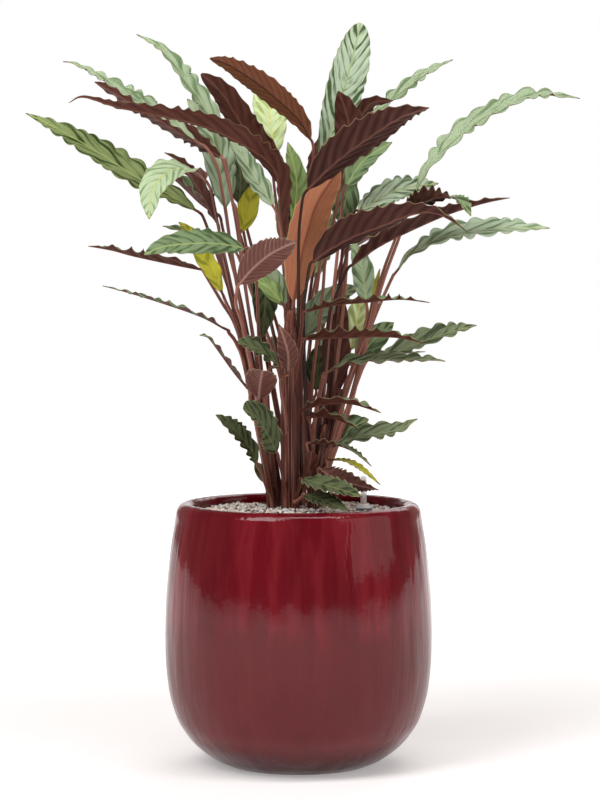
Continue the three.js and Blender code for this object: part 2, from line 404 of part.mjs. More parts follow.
// A blade: each half rises from the midrib by the fold, and its edge waves up and down, one side
// against the other. A ribbed section has six corners: two edges and the rib, top and bottom. A plain
// one has the four edge corners, and its midrib lies level with its edges.
function bladeSolid(row, ribbed) {
  const [, , , width, tip, fold, faces, midrib] = row;
  const curve = curveThrough(midrib);
  const length = curve.getLength();
  const steps = Math.max(5, Math.round(length / WAVE_STEP));
  const rise = ribbed ? Math.sin(THREE.MathUtils.degToRad(fold)) : 0;
  const reach = Math.cos(THREE.MathUtils.degToRad(fold));
  const rings = [];
  for (let step = 0; step <= steps; step += 1) {
    const along = step / steps;
    const { here, ahead, up, across } = midribFrame(curve, faces, along);
    const inner = THREE.MathUtils.clamp(along, ...BLADE_ENDS);
    const half = Math.max(LEAST_HALF_WIDTH, (width / 2) * bladeProfile(inner, tip));
    const atEnd = step === 0 || step === steps;
    const wave = atEnd ? 0 : WAVE_HEIGHT * Math.min(1, half / WAVE_FULL_AT) * (step % 2 ? -1 : 1);
    const corner = (side, height, lift) => here.clone()
      .addScaledVector(across, side * half * reach)
      .addScaledVector(up, Math.abs(side) * half * rise + side * wave + height * lift);
    const edge = BLADE_EDGE / 2;
    const rib = BLADE_RIB / 2;
    const topSide = [corner(-1, 1, edge), corner(0, 1, rib), corner(1, 1, edge)];
    const underside = [corner(1, -1, edge), corner(0, -1, rib), corner(-1, -1, edge)];
    const kept = (corners) => corners.filter((_, index) => ribbed || index !== 1);
    rings.push([...kept(topSide), ...kept(underside)]);
  }
  return solidFromRings(rings, ribbed ? [3, 4] : [2]);
}

// A round bar through the points, with a ring and a radius at each of them.
function barSolid(points, radii, sides) {
  const curve = curveThrough(points);
  const outward = new THREE.Vector3(0, -1, 0);
  const rings = points.map((_, index) => {
    const along = index / (points.length - 1);
    const here = curve.getPoint(along);
    const ahead = curve.getTangent(along);
    outward.addScaledVector(ahead, -outward.dot(ahead)).normalize();
    const sideways = new THREE.Vector3().crossVectors(ahead, outward);
    return Array.from({ length: sides }, (__, side) => {
      const angle = (2 * Math.PI * side) / sides;
      return here.clone()
        .addScaledVector(outward, radii[index] * Math.cos(angle))
        .addScaledVector(sideways, radii[index] * Math.sin(angle));
    });
  });
  return solidFromRings(rings);
}

// The sheathed foot of a shoot: eight-sided rings, level, at the listed heights.
function coreSolid(core) {
  const rings = core.map(([x, y, z, radius]) => Array.from({ length: CORE_SIDES }, (_, side) => {
    const angle = (2 * Math.PI * (side + 0.5)) / CORE_SIDES;
    return new THREE.Vector3(x + radius * Math.cos(angle), y + radius * Math.sin(angle), z);
  }));
  return solidFromRings(rings);
}

// Where on a shoot's centre line a height falls
function onCore(core, height) {
  const upper = core.findIndex(([, , z]) => z > height);
  if (upper < 0) return core[core.length - 1].slice(0, 3);
  const low = core[upper - 1];
  const high = core[upper];
  const share = (height - low[2]) / (high[2] - low[2]);
  return [low[0] + share * (high[0] - low[0]), low[1] + share * (high[1] - low[1]), height];
}

// A stalk leaves its shoot below its first listed point, and its end stands square to the blade's base. A
// joined blade's stalk runs on into the blade; a separate blade keeps a small gap to it.
function stalkSolid(row, ownBlade) {
  const [, shoot, , , , , , midrib, stalk] = row;
  const core = CORES[shoot];
  const highest = core[core.length - 1][2] - BELOW_CORE_TOP;
  const start = onCore(core, Math.max(LOWEST_START, Math.min(stalk[0][2] - STALK_RUN_IN, highest)));
  const base = vec(midrib[0]);
  const ahead = vec(midrib[1]).sub(base).normalize();
  const before = base.clone().addScaledVector(ahead, -STALK_RUN_OUT);
  const end = base.addScaledVector(ahead, ownBlade ? -SEAT_GAP : STALK_SUNK);
  const points = [start, ...stalk, before.toArray(), end.toArray()];
  const radii = points.map((_, index) => (
    THREE.MathUtils.lerp(STALK_FOOT, STALK_TOP, Math.min(1, index / (points.length - 2)))));
  return barSolid(points, radii, STALK_SIDES);
}

function potMesh() {
  const profile = [[0, 0], ...POT_OUTSIDE, ...POT_LIP, ...POT_INSIDE, [0, POT_FLOOR]];
  return named('pot', turned(profile, POT_SIDES), GLAZE);
}

// Gravel: fills the inside of the pot, with a gently uneven top, level round the gauge, and the plain
// holes of the shoots and the gauge.
function substrateMesh() {
  const floor = POT_FLOOR + WALL_GAP;
  const inside = [...POT_INSIDE].reverse().map(([radius, z]) => [radius - WALL_GAP, Math.max(z, floor)]);
  const top = Array.from({ length: GRAVEL_RINGS + 1 }, (_, ring) => [
    GRAVEL_RADIUS * (1 - ring / GRAVEL_RINGS), GRAVEL_LEVEL]);
  const geometry = turned([[0, floor], ...inside, ...top], POT_SIDES);
  const position = geometry.attributes.position;
  for (let i = 0; i < position.count; i += 1) {
    const x = position.getX(i);
    const y = position.getY(i);
    const radius = Math.hypot(x, y);
    const fromGauge = Math.hypot(x - GAUGE.x, y - GAUGE.y);
    const onTop = position.getZ(i) > GRAVEL_LEVEL - 1 && radius < GRAVEL_RADIUS - 2;
    if (onTop && fromGauge > LEVEL_ROUND_GAUGE) {
      const wave = Math.sin(GRAVEL_WAVES.x * x + 2) * Math.cos(GRAVEL_WAVES.y * y - 1);
      position.setZ(i, GRAVEL_LEVEL + GRAVEL_RELIEF * wave);
    }
  }
  let solid = toManifold(geometry);
  for (const core of Object.values(CORES)) {
    const [x, y, foot, radius] = core[0];
    const hole = [foot - HOLE_GAP, GRAVEL_LEVEL + HOLE_OVERRUN].map((z) => [x, y, z, radius + HOLE_GAP]);
    solid = solid.subtract(toManifold(coreSolid(hole)));
  }
  const bore = TUBE_RADIUS + HOLE_GAP;
  const [low, high] = [GAUGE.foot - HOLE_GAP, GRAVEL_LEVEL + HOLE_OVERRUN];
  const well = turned([[0, low], [bore, low], [bore, high], [0, high]], GAUGE.sides);
  solid = solid.subtract(toManifold(well.translate(GAUGE.x, GAUGE.y, 0)));
  return named('substrate', toGeometry(solid), PUMICE);
}

function gaugeMeshes() {
  const bore = TUBE_RADIUS - TUBE_WALL;
  const dome = GAUGE.top - TUBE_DOME;
  const ceiling = dome - TUBE_WALL;
  const tube = turned([[bore, GAUGE.foot], [TUBE_RADIUS, GAUGE.foot], [TUBE_RADIUS, dome],
    [TUBE_DOME, GAUGE.top], [0, GAUGE.top], [0, ceiling], [bore, ceiling],
    [bore, GAUGE.foot]], GAUGE.sides);
  const seat = GRAVEL_LEVEL + SEAT_GAP;
  const neck = TUBE_RADIUS + HOLE_GAP;
  const outside = COLLAR.map(([radius, rise]) => [radius, seat + rise]);
  const top = outside[outside.length - 1][1];
  const collar = turned([[neck, seat], ...outside, [neck, top], [neck, seat]], GAUGE.sides);
  const float = turned([[0, GAUGE.foot], [FLOAT_RADIUS, GAUGE.foot], [FLOAT_RADIUS, FLOAT_TOP],
    [0, FLOAT_TOP + FLOAT_RADIUS]], GAUGE.sides);
  const place = (geometry) => geometry.translate(GAUGE.x, GAUGE.y, 0);
  return [
    named('gauge_tube', place(tube), CLEAR_TUBE),
    named('gauge_collar', place(collar), GREY_COLLAR),
    named('gauge_float', place(float), ORANGE_FLOAT),
  ];
}

function shootMesh(shoot) {
  const pieces = [toManifold(coreSolid(CORES[shoot]))];
  const grownBy = (row) => row[1] === shoot;
  for (const row of LEAVES.filter(grownBy)) pieces.push(toManifold(stalkSolid(row, true)));
  for (const row of JOINED_LEAVES.filter(grownBy)) {
    pieces.push(toManifold(stalkSolid(row, false)));
    pieces.push(toManifold(bladeSolid(row, false)));
  }
  if (shoot === SPEAR.shoot) {
    const start = onCore(CORES[shoot], SPEAR.line[0][2] - STALK_RUN_IN);
    pieces.push(toManifold(barSolid([start, ...SPEAR.line], SPEAR.radii, STALK_SIDES)));
  }
  return named(`shoot_${shoot}`, toGeometry(wasm.Manifold.union(pieces)), STALK);
}

const plant = new THREE.Group();
plant.add(potMesh(), substrateMesh(), ...gaugeMeshes());
for (const shoot of Object.keys(CORES)) plant.add(shootMesh(shoot));
for (const row of LEAVES) plant.add(named(`leaf_${row[0]}`, bladeSolid(row, true), BLADES[row[2]]));

export default plant;
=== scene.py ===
import bpy
import numpy as np
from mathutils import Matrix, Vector


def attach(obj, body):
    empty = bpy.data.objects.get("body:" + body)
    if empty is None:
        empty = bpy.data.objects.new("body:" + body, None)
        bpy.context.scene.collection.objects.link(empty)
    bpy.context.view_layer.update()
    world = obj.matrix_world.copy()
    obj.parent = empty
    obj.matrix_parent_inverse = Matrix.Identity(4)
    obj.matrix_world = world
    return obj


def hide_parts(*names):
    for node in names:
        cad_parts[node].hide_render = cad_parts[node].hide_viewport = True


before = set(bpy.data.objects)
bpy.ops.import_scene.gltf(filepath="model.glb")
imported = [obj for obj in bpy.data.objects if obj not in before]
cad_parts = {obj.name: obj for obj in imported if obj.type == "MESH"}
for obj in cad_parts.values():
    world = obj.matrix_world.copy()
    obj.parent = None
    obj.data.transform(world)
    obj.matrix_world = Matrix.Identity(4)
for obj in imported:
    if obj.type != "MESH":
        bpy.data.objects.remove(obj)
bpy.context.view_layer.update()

MM = 0.001
BODY = "root"
random = np.random.default_rng(1338)

# Camera, lights and stage, in metres
CAMERA_PLACE = (0.0015, -3.0, 0.544)
CAMERA_AIM = (0.0015, 0.0, 0.366)
CAMERA_LENS = 135.0
LAMPS = {
    "key": {"place": (-1.5, -1.7, 2.3), "aim": (0.0, 0.0, 0.4), "size": (1.3, 1.3), "power": 38.0},
    "fill": {"place": (2.5, -0.9, 1.4), "aim": (0.0, 0.0, 0.35), "size": (2.2, 2.2), "power": 15.0},
    "top": {"place": (0.08, -0.85, 2.5), "aim": (0.0, 0.0, 0.3), "size": (2.8, 0.5), "power": 27.0},
    "back": {"place": (0.6, 2.1, 2.2), "aim": (0.0, 0.0, 0.5), "size": (2.0, 2.0), "power": 22.0},
}
ROOM_LIGHT = {"horizon": 0.32, "ceiling": 0.22, "height": 0.6}
ROOM_TINT = (1.0, 0.8, 0.72)
WALL_LIGHT = 1.0
BACKDROP = (1.0, 1.0, 1.0)
WALL_EDGE = (0.945, 0.98)
FLOOR_RADIUS = 9.0
FLOOR_TONE = 0.88
FLOOR_GLOW = (0.3, 0.85)
FLOOR_GLOW_REACH = (0.3, 2.2)

# Pot, radius and height
POT_OUTSIDE = [
    [0, 0], [71, 0], [73, 0.6], [84, 5.5], [92.5, 11], [101.4, 18], [108.4, 25], [114.4, 33], [119.1, 40],
    [122.9, 48], [127.8, 63.5], [131, 79], [133.4, 103], [134, 130], [133.7, 155], [132.4, 180],
    [130.1, 205], [127.6, 224.5], [124.5, 243], [123.2, 252], [121.6, 257.5], [118, 261.6], [113, 263],
    [108, 261.8], [105.4, 258.5], [105.2, 252], [107, 244], [114, 228], [121, 180], [123, 130], [119, 85],
    [108, 48], [90, 24], [66, 14], [0, 14],
]
POT_TURNS = 168
POT_RINGS = 130

# Gravel
GRAVEL_LEVEL = 252
GRAVEL_RADIUS = 104.4
GRAIN_SPACING = 4.1
GRAIN_LAYERS = 2
GRAIN_RADII = (1.6, 2.75)
GRAIN_HEIGHTS = (-1.6, 0.6)
GRAIN_SHAKE = 0.22
ROW_SHARE = 0.866
BED_DEPTH = 2.2
BED_FOOT = 200
BED_TURNS = 96

# Water level gauge
GAUGE_PLACE = (66, 31)
GAUGE_TURNS = 40
TUBE_RADIUS = 3.25
TUBE_WALL = 0.8
TUBE_TOP = 287
GAUGE_FOOT = 214
FLOAT_RADIUS = 1.7
FLOAT_TOP = 264
COLLAR_SEAT = 252.3
COLLAR_ROOM = 10.5
COLLAR = [
    [3.65, 0], [8.2, 0], [8.45, 0.4], [8.4, 1.4], [8.1, 2], [7.3, 2.9], [6.2, 4.2], [5.1, 5.4], [4.5, 6.3],
    [4.1, 6.5], [3.65, 6.4],
]

# Leaf surfaces: steps along, places across each half, pleats, thickness
STEP_ALONG = 1.5
PLACES_ACROSS = (0.05, 0.1, 0.17, 0.26, 0.36, 0.47, 0.58, 0.68, 0.77, 0.85, 0.92, 0.97, 1.0)
FEWER_ACROSS = (0.08, 0.2, 0.36, 0.52, 0.68, 0.82, 0.92, 1.0)
PLEAT_SHARE = 0.062
RIM_THICKNESS = 0.5
RIB_THICKNESS = 1.1

# Stalks: their height in the gravel and where they leave it, girth by height, and the sheaths at their feet
STALK_FOOT = 236.0
STALK_FREE = 262.0
STALK_TIP = 1.4
STALK_TURNS = 12
STALK_STEP = 6.0
STALK_GIRTH = [[236, 262, 330, 400, 480, 660], [2.9, 2.9, 2.4, 1.95, 1.6, 1.35]]
STALK_RUN_IN = 45
SHEATH_GIRTH = {"centre": 1.25, "left_front": 1.1, "left_back": 1.1}
SHEATH_SHARE = 0.75
SHEATH_TURNS = 66
CENTRE_SHEATH = [
    [-8, 21, 236, 9], [-8, 21, 262, 9], [-8.5, 21, 330, 9], [-8.5, 21, 405, 8.2], [-8, 21, 455, 5],
]
SHORT_STALK = 160.0
SPREAD_HEIGHT = 400.0

# The sheathed foot of each shoot: its centre line from the gravel up, and the radius at each point
CORES = {
    "centre": [[-6, 22, 236, 10], [-6, 22, 262, 10], [-7, 22, 320, 8.5], [-8, 22, 400, 6.5]],
    "centre_back": [[0, 56, 236, 9], [0, 56, 262, 9], [-4, 58, 330, 6.5], [-8, 60, 410, 4]],
    "left_front": [[-26, 34, 236, 8.5], [-26, 34, 262, 8.5], [-34, 32, 320, 6.5], [-44, 28, 380, 4]],
    "left_back": [[-22, 62, 236, 9], [-22, 62, 262, 9], [-32, 60, 330, 6.5], [-44, 56, 400, 4]],
    "right_front": [[15, 26, 236, 8], [15, 26, 262, 8], [20, 24, 300, 5.5], [27, 22, 340, 4]],
    "right_back": [[21, 56, 236, 7.5], [21, 56, 262, 7.5], [29, 48, 320, 5.5], [42, 42, 375, 4]],
    "back": [[0, 86, 236, 8], [0, 86, 262, 8], [-2, 94, 310, 5.5], [-4, 102, 350, 4]],
}

# A leaf row: name, shoot, finish, width, tip, fold, then the ways its top faces from base to tip, its
# midrib from base to tip, and its stalk from the shoot up to the base. Tip is the taper (0.5 blunt,
# 1 long); fold is how far each half rises from the midrib, in degrees.
# Large leaves, each a piece of its own.
LEAVES = [
  ["left_01", "left_back", "green", 35, 1, 17, [[0.1, -0.6, 0.8], [0.1, -0.8, 0.6]],
    [[-104, 22, 556], [-130, 24, 571], [-162, 28, 588], [-201, 34, 613], [-242, 40, 637], [-276, 46, 654]],
    [[-59, 40, 434], [-77, 33, 495], [-90, 28, 533], [-96, 24, 549]]],
  ["left_02", "left_back", "pale", 36, 0.8, 12,
    [[0, 0.2, 1], [-0.1, -0.6, 0.8], [-0.35, -0.9, 0.2], [-0.3, -0.95, 0]],
    [[-94, 20, 586], [-100, 12, 593], [-110, 0, 597], [-123, -15, 596], [-134, -28, 589], [-144, -38, 575],
      [-147, -44, 547]],
    [[-61, 45, 444], [-80, 30, 535], [-87, 24, 572]]],
  ["left_03", "left_back", "pale", 28, 1, 14, [[0.2, -0.4, 0.9], [0.2, -0.35, 0.9]],
    [[-104, 30, 626], [-140, 22, 654], [-180, 16, 677], [-220, 10, 700], [-235, 8, 704]],
    [[-60, 52, 464], [-75, 46, 561], [-82, 36, 599], [-92, 32, 618]]],
  ["left_04", "left_back", "green", 34, 0.75, 18, [[0.2, 0.7, 0.7], [0.2, 0.7, 0.7]],
    [[-78, 44, 609], [-116, 62, 632], [-174, 92, 667], [-210, 106, 688]],
    [[-50, 55, 450], [-62, 50, 549], [-67, 48, 566], [-73, 46, 602]]],
  ["left_05", "left_back", "pale", 27, 1, 20, [[0.6, -0.6, 0.5], [0.6, -0.6, 0.5]],
    [[-78, 60, 610], [-89, 63, 648], [-110, 66, 681], [-137, 70, 717], [-165, 74, 735]],
    [[-50, 58, 450], [-63, 57, 540], [-73, 59, 592]]],
  ["left_06", "centre_back", "green", 36, 1.1, 28,
    [[0.9, 0.4, 0.1], [0.7, 0.5, 0.4], [0.2, 0.5, 0.85], [0, 0.5, 0.85]],
    [[-14, 46, 526], [-18, 42, 551], [-20, 36, 576], [-23, 27, 594], [-33, 17, 607], [-54, 5, 620],
      [-84, 0, 635], [-118, -8, 645], [-178, -16, 657], [-212, -20, 667], [-227, -22, 662]],
    [[-6, 52, 360], [-10, 50, 464]]],
  ["left_07", "centre_back", "green", 33, 0.6, 14, [[0.3, 0.85, 0.4], [0.3, 0.85, 0.4]],
    [[-13, 58, 578], [-29, 55, 607], [-43, 51, 624], [-59, 46, 645], [-77, 40, 673], [-98, 34, 693]],
    [[-8, 56, 480], [-10, 58, 560]]],
  ["left_08", "centre_back", "green", 30, 0.7, 12, [[0.3, 0.8, 0.5], [0.3, 0.8, 0.5]],
    [[12, 60, 628], [3, 56, 644], [-9, 52, 657], [-24, 47, 670], [-39, 42, 682], [-54, 37, 692],
      [-71, 31, 702], [-89, 26, 708]],
    [[2, 56, 440], [8, 58, 540], [14, 60, 596], [15, 60, 612]]],
  ["left_09", "centre_back", "yellow", 36, 0.4, 10, [[0.1, -0.95, 0.3], [0.1, -0.6, 0.8]],
    [[-27, 94, 610], [-27, 100, 630], [-29, 108, 649], [-30, 120, 667], [-30, 148, 672]],
    [[-12, 72, 460], [-25, 92, 580]]],
  ["left_10", "left_back", "green", 26, 1, 14, [[0.6, 0.5, 0.6], [0.6, 0.5, 0.6]],
    [[-83, 38, 544], [-95, 36, 568], [-108, 34, 590], [-120, 33, 605], [-135, 32, 614]],
    [[-60, 46, 440], [-78, 40, 520]]],
  ["left_11", "left_back", "green", 32, 0.9, 32, [[0.2, -0.15, 1], [0.2, -0.15, 1]],
    [[-84, 62, 552], [-100, 66, 563], [-115, 68, 577], [-126, 69, 587], [-143, 70, 601]],
    [[-56, 60, 450], [-76, 60, 532]]],
  ["left_12", "left_back", "pale", 34, 0.8, 15, [[0.25, -0.9, 0.3], [0.25, -0.9, 0.3]],
    [[-75, 84, 559], [-80, 94, 592], [-85, 102, 618], [-94, 108, 643], [-115, 112, 671]],
    [[-48, 62, 400], [-66, 72, 500]]],
  ["left_13", "centre_back", "dark", 30, 0.8, 15, [[0, -1, 0.1], [0, -1, 0.1]],
    [[-61, 104, 563], [-60, 116, 590], [-63, 124, 609], [-74, 130, 627]],
    [[-34, 76, 420], [-54, 90, 520]]],
  ["left_14", "centre_back", "pale", 24, 1, 12, [[0.4, -0.8, 0.4], [0.4, -0.8, 0.4]],
    [[-26, 66, 560], [-45, 76, 589], [-60, 84, 616], [-75, 90, 635]],
    [[-8, 62, 440], [-17, 62, 530], [-21, 63, 548]]],
  ["left_15", "centre_back", "green", 24, 0.9, 18, [[0.1, -1, 0.2], [0.1, -1, 0.2]],
    [[-6, 80, 544], [-2, 86, 577], [-4, 90, 598], [-11, 96, 626]],
    [[-4, 66, 400], [-6, 74, 500]]],
  ["top_01", "centre_back", "pale", 39, 0.5, 8, [[0.15, -1, 0.1], [0.15, -1, 0.1]],
    [[22, 86, 612], [32, 90, 634], [44, 95, 670], [54, 98, 706], [64, 100, 748]],
    [[3, 66, 400], [6, 72, 500], [14, 80, 580]]],
  ["top_02", "centre", "green", 47, 0.9, 24, [[0.1, 0.6, 0.8], [0.1, 0.6, 0.8]],
    [[10, 12, 577], [26, 0, 593], [46, -18, 610], [70, -42, 627], [99, -72, 645], [126, -96, 654]],
    [[-1, 22, 400], [0, 16, 486], [0, 12, 516], [1, 10, 541], [4, 10, 566]]],
  ["top_03", "centre_back", "green", 34, 0.8, 12, [[0.1, 0.9, 0.3], [0.1, 0.9, 0.3]],
    [[43, 50, 583], [52, 54, 617], [51, 54, 643], [46, 48, 661], [40, 40, 676]],
    [[14, 48, 380], [24, 44, 466], [28, 44, 515], [36, 46, 547], [40, 48, 566]]],
  ["top_04", "right_back", "green", 22, 0.9, 12, [[-0.3, 0.8, 0.5], [-0.3, 0.8, 0.5]],
    [[55, 72, 607], [61, 70, 643], [73, 64, 664], [96, 58, 667]],
    [[44, 56, 440], [52, 70, 560]]],
  ["top_05", "centre", "young", 40, 0.6, 20, [[0, 1, 0.1], [0, 1, 0.1]],
    [[-5, 25, 465], [3, 25, 511], [11, 25, 541], [20, 26, 566], [41, 28, 598]],
    [[-6, 24, 410], [-6, 25, 440]]],
  ["right_01", "right_front", "pale", 34, 1, 14, [[-0.25, -0.4, 0.87], [-0.25, -0.4, 0.87]],
    [[117, 20, 574], [133, 24, 602], [168, 30, 637], [219, 38, 666], [250, 44, 672], [285, 50, 669]],
    [[54, 32, 364], [80, 25, 476], [97, 22, 526], [106, 20, 551], [113, 20, 567]]],
  ["right_02", "right_back", "pale", 26, 1, 12, [[-0.3, -0.4, 0.85], [-0.3, -0.4, 0.85]],
    [[75, 94, 655], [99, 96, 672], [130, 100, 696], [159, 104, 711]],
    [[38, 66, 440], [50, 86, 560], [66, 93, 640]]],
  ["right_03", "right_front", "green", 26, 0.9, 16, [[-0.2, -0.9, 0.4], [-0.2, -0.9, 0.4]],
    [[48, 36, 580], [60, 34, 599], [72, 30, 611], [94, 24, 624]],
    [[30, 30, 420], [42, 36, 540]]],
  ["right_04", "right_back", "green", 28, 0.6, 12, [[0, -0.9, 0.3], [0, -1, 0]],
    [[53, 60, 588], [48, 55, 567], [42, 52, 544]],
    [[42, 62, 460], [56, 88, 560], [60, 84, 594], [57, 69, 602]]],
  ["right_05", "right_back", "pale", 30, 0.9, 12, [[-0.1, -0.8, 0.6], [-0.1, -0.8, 0.6]],
    [[60, 44, 554], [78, 46, 565], [103, 48, 577], [142, 52, 583]],
    [[34, 40, 380], [40, 40, 468], [48, 40, 508]]],
  ["right_06", "right_front", "green", 34, 0.9, 16, [[0, 0.5, 0.85], [0, 0.4, 0.9], [0.3, -0.6, 0.75]],
    [[108, 8, 557], [121, -4, 563], [140, -24, 569], [158, -44, 565], [169, -56, 550]],
    [[52, 28, 360], [82, 18, 474], [102, 11, 532]]],
  ["right_07", "right_front", "green", 44, 1.3, 36, [[0.2, 0.6, 0.75], [0.2, 0.6, 0.75], [0.1, 0, 1]],
    [[15, 2, 504], [29, -8, 515], [54, -28, 529], [80, -50, 539], [107, -66, 550], [130, -76, 553],
      [149, -84, 545], [164, -90, 534]],
    [[6, 16, 400], [5, 10, 452], [8, 6, 480]]],
  ["right_08", "right_front", "green", 34, 1, 26, [[0, 0.25, 0.97], [0, 0.25, 0.97]],
    [[54, 12, 501], [79, 0, 519], [106, -12, 533], [137, -15, 547], [158, -17, 555], [185, -20, 563],
      [209, -24, 568]],
    [[29, 22, 434], [37, 18, 468], [46, 15, 490]]],
  ["right_09", "right_front", "pale", 32, 1, 16, [[-0.1, -0.55, 0.83], [-0.1, -0.55, 0.83]],
    [[99, 16, 495], [112, 12, 511], [146, 4, 529], [198, -4, 537], [250, -10, 538]],
    [[48, 28, 370], [72, 24, 436], [85, 20, 468], [95, 17, 490]]],
  ["right_10", "right_back", "green", 23, 0.8, 12, [[0, -1, 0.15], [0, -1, 0.15]],
    [[69, 46, 461], [67, 46, 480], [64, 44, 500], [55, 42, 524]],
    [[50, 42, 380], [68, 46, 440]]],
  ["right_11", "centre", "green", 30, 1, 14, [[0, 0.1, 1], [0, 0.1, 1]],
    [[8, -6, 455], [36, -22, 462], [66, -32, 465], [100, -42, 468], [129, -48, 465]],
    [[-2, 14, 400], [4, 0, 446]]],
  ["right_12", "centre", "green", 34, 1, 26, [[0, 0.15, 1], [0, 0.15, 1]],
    [[8, -4, 427], [29, -16, 429], [54, -28, 430], [79, -38, 431], [101, -46, 430], [123, -52, 425]],
    [[-2, 14, 380], [4, 2, 420]]],
  ["right_13", "right_front", "green", 32, 0.9, 18, [[-0.1, -0.55, 0.83], [-0.1, -0.55, 0.83]],
    [[82, 20, 406], [112, 12, 419], [147, 4, 432], [178, -2, 441]],
    [[53, 28, 365], [68, 26, 403]]],
  ["right_14", "right_front", "green", 30, 0.9, 14, [[0, -0.3, 0.95], [0, -0.3, 0.95]],
    [[30, 4, 394], [51, -6, 404], [91, -16, 407], [131, -22, 407], [146, -24, 406]],
    [[16, 16, 340], [24, 8, 385]]],
  ["right_15", "right_back", "green", 30, 0.9, 14, [[-0.1, -0.9, 0.4], [-0.1, -0.9, 0.4]],
    [[61, 60, 403], [75, 58, 422], [97, 54, 442]],
    [[46, 54, 370], [54, 58, 390]]],
  ["right_16", "centre_back", "pale", 30, 0.8, 12, [[-0.1, -0.9, 0.4], [-0.1, -0.9, 0.4]],
    [[5, 74, 426], [19, 77, 450], [39, 81, 468], [62, 84, 477]],
    [[0, 62, 350], [2, 71, 400]]],
  ["mid_01", "left_front", "green", 34, 0.9, 14, [[0.3, 0.8, 0.5], [0.3, 0.8, 0.5]],
    [[-58, -34, 483], [-46, -50, 497], [-30, -72, 511], [-16, -92, 519], [-2, -112, 525]],
    [[-44, 20, 380], [-56, 0, 440], [-62, -18, 462], [-61, -28, 476]]],
  ["mid_02", "left_front", "green", 30, 0.8, 14, [[0, -0.85, 0.5], [0, -0.85, 0.5]],
    [[-54, -12, 518], [-76, -28, 522], [-97, -42, 523], [-131, -60, 520], [-151, -70, 512]],
    [[-38, 22, 400], [-42, 8, 480], [-46, -4, 508]]],
  ["mid_03", "left_front", "green", 30, 1, 20, [[0, 0.15, 1], [0, 0.15, 1]],
    [[-100, 10, 497], [-126, 8, 502], [-164, 4, 510], [-187, 2, 516], [-210, 0, 520]],
    [[-43, 34, 364], [-62, 28, 435], [-77, 20, 463], [-95, 12, 494]]],
  ["mid_04", "left_front", "green", 26, 1, 8, [[0, -0.1, 1], [0, -0.1, 1]],
    [[-74, 14, 437], [-98, 4, 450], [-140, -10, 465], [-172, -20, 475], [-194, -26, 481]],
    [[-53, 28, 392], [-62, 20, 421], [-70, 16, 433]]],
  ["mid_05", "left_front", "green", 22, 0.9, 14, [[0.7, 0, 0.7], [0.7, 0, 0.7]],
    [[-51, -4, 378], [-65, -16, 396], [-78, -30, 415], [-89, -42, 430], [-97, -50, 433]],
    [[-36, 16, 312], [-42, 8, 342], [-48, 0, 366]]],
  ["mid_06", "left_front", "dark", 30, 0.8, 14, [[0.2, -0.6, 0.8], [0.2, -0.6, 0.8]],
    [[-20, -6, 401], [-38, -22, 416], [-61, -36, 426]],
    [[-31, 16, 360], [-29, 4, 396]]],
  ["mid_07", "centre", "green", 21, 1.1, 14, [[0, 1, 0.3], [0, 1, 0.3]],
    [[-10, -14, 396], [-11, -34, 417], [-19, -52, 444]],
    [[-12, 12, 340], [-17, 2, 374], [-17, -6, 388]]],
  ["mid_08", "left_front", "green", 32, 0.5, 14, [[0.1, 0.8, 0.6], [0.1, 0.8, 0.6]],
    [[-39, -14, 368], [-38, -40, 382], [-35, -74, 399]],
    [[-36, 8, 330], [-39, -4, 358]]],
  ["mid_09", "centre", "dark", 38, 0.5, 12, [[-0.1, -0.8, 0.6], [-0.1, -0.8, 0.6]],
    [[-22, -12, 315], [-31, -30, 334], [-41, -50, 351], [-54, -68, 361]],
    [[-16, 6, 290], [-20, -6, 307]]],
  ["mid_10", "left_front", "dark", 26, 0.8, 12, [[0.2, -0.7, 0.7], [0.2, -0.7, 0.7]],
    [[-42, 8, 302], [-48, 0, 316], [-61, -14, 334], [-82, -30, 353]],
    [[-32, 22, 275], [-37, 14, 290]]],
  ["front_01", "right_front", "green", 26, 0.9, 22, [[0, 0.15, 1], [0, 0.15, 1]],
    [[6, -10, 357], [23, -24, 363], [51, -42, 365], [81, -58, 357]],
    [[8, 10, 300], [5, -4, 350]]],
  ["front_02", "right_front", "green", 30, 0.9, 16, [[-0.1, -0.5, 0.85], [-0.1, -0.5, 0.85]],
    [[38, 6, 320], [63, -6, 330], [99, -20, 337], [118, -28, 349]],
    [[20, 20, 288], [27, 14, 310], [34, 8, 322]]],
]

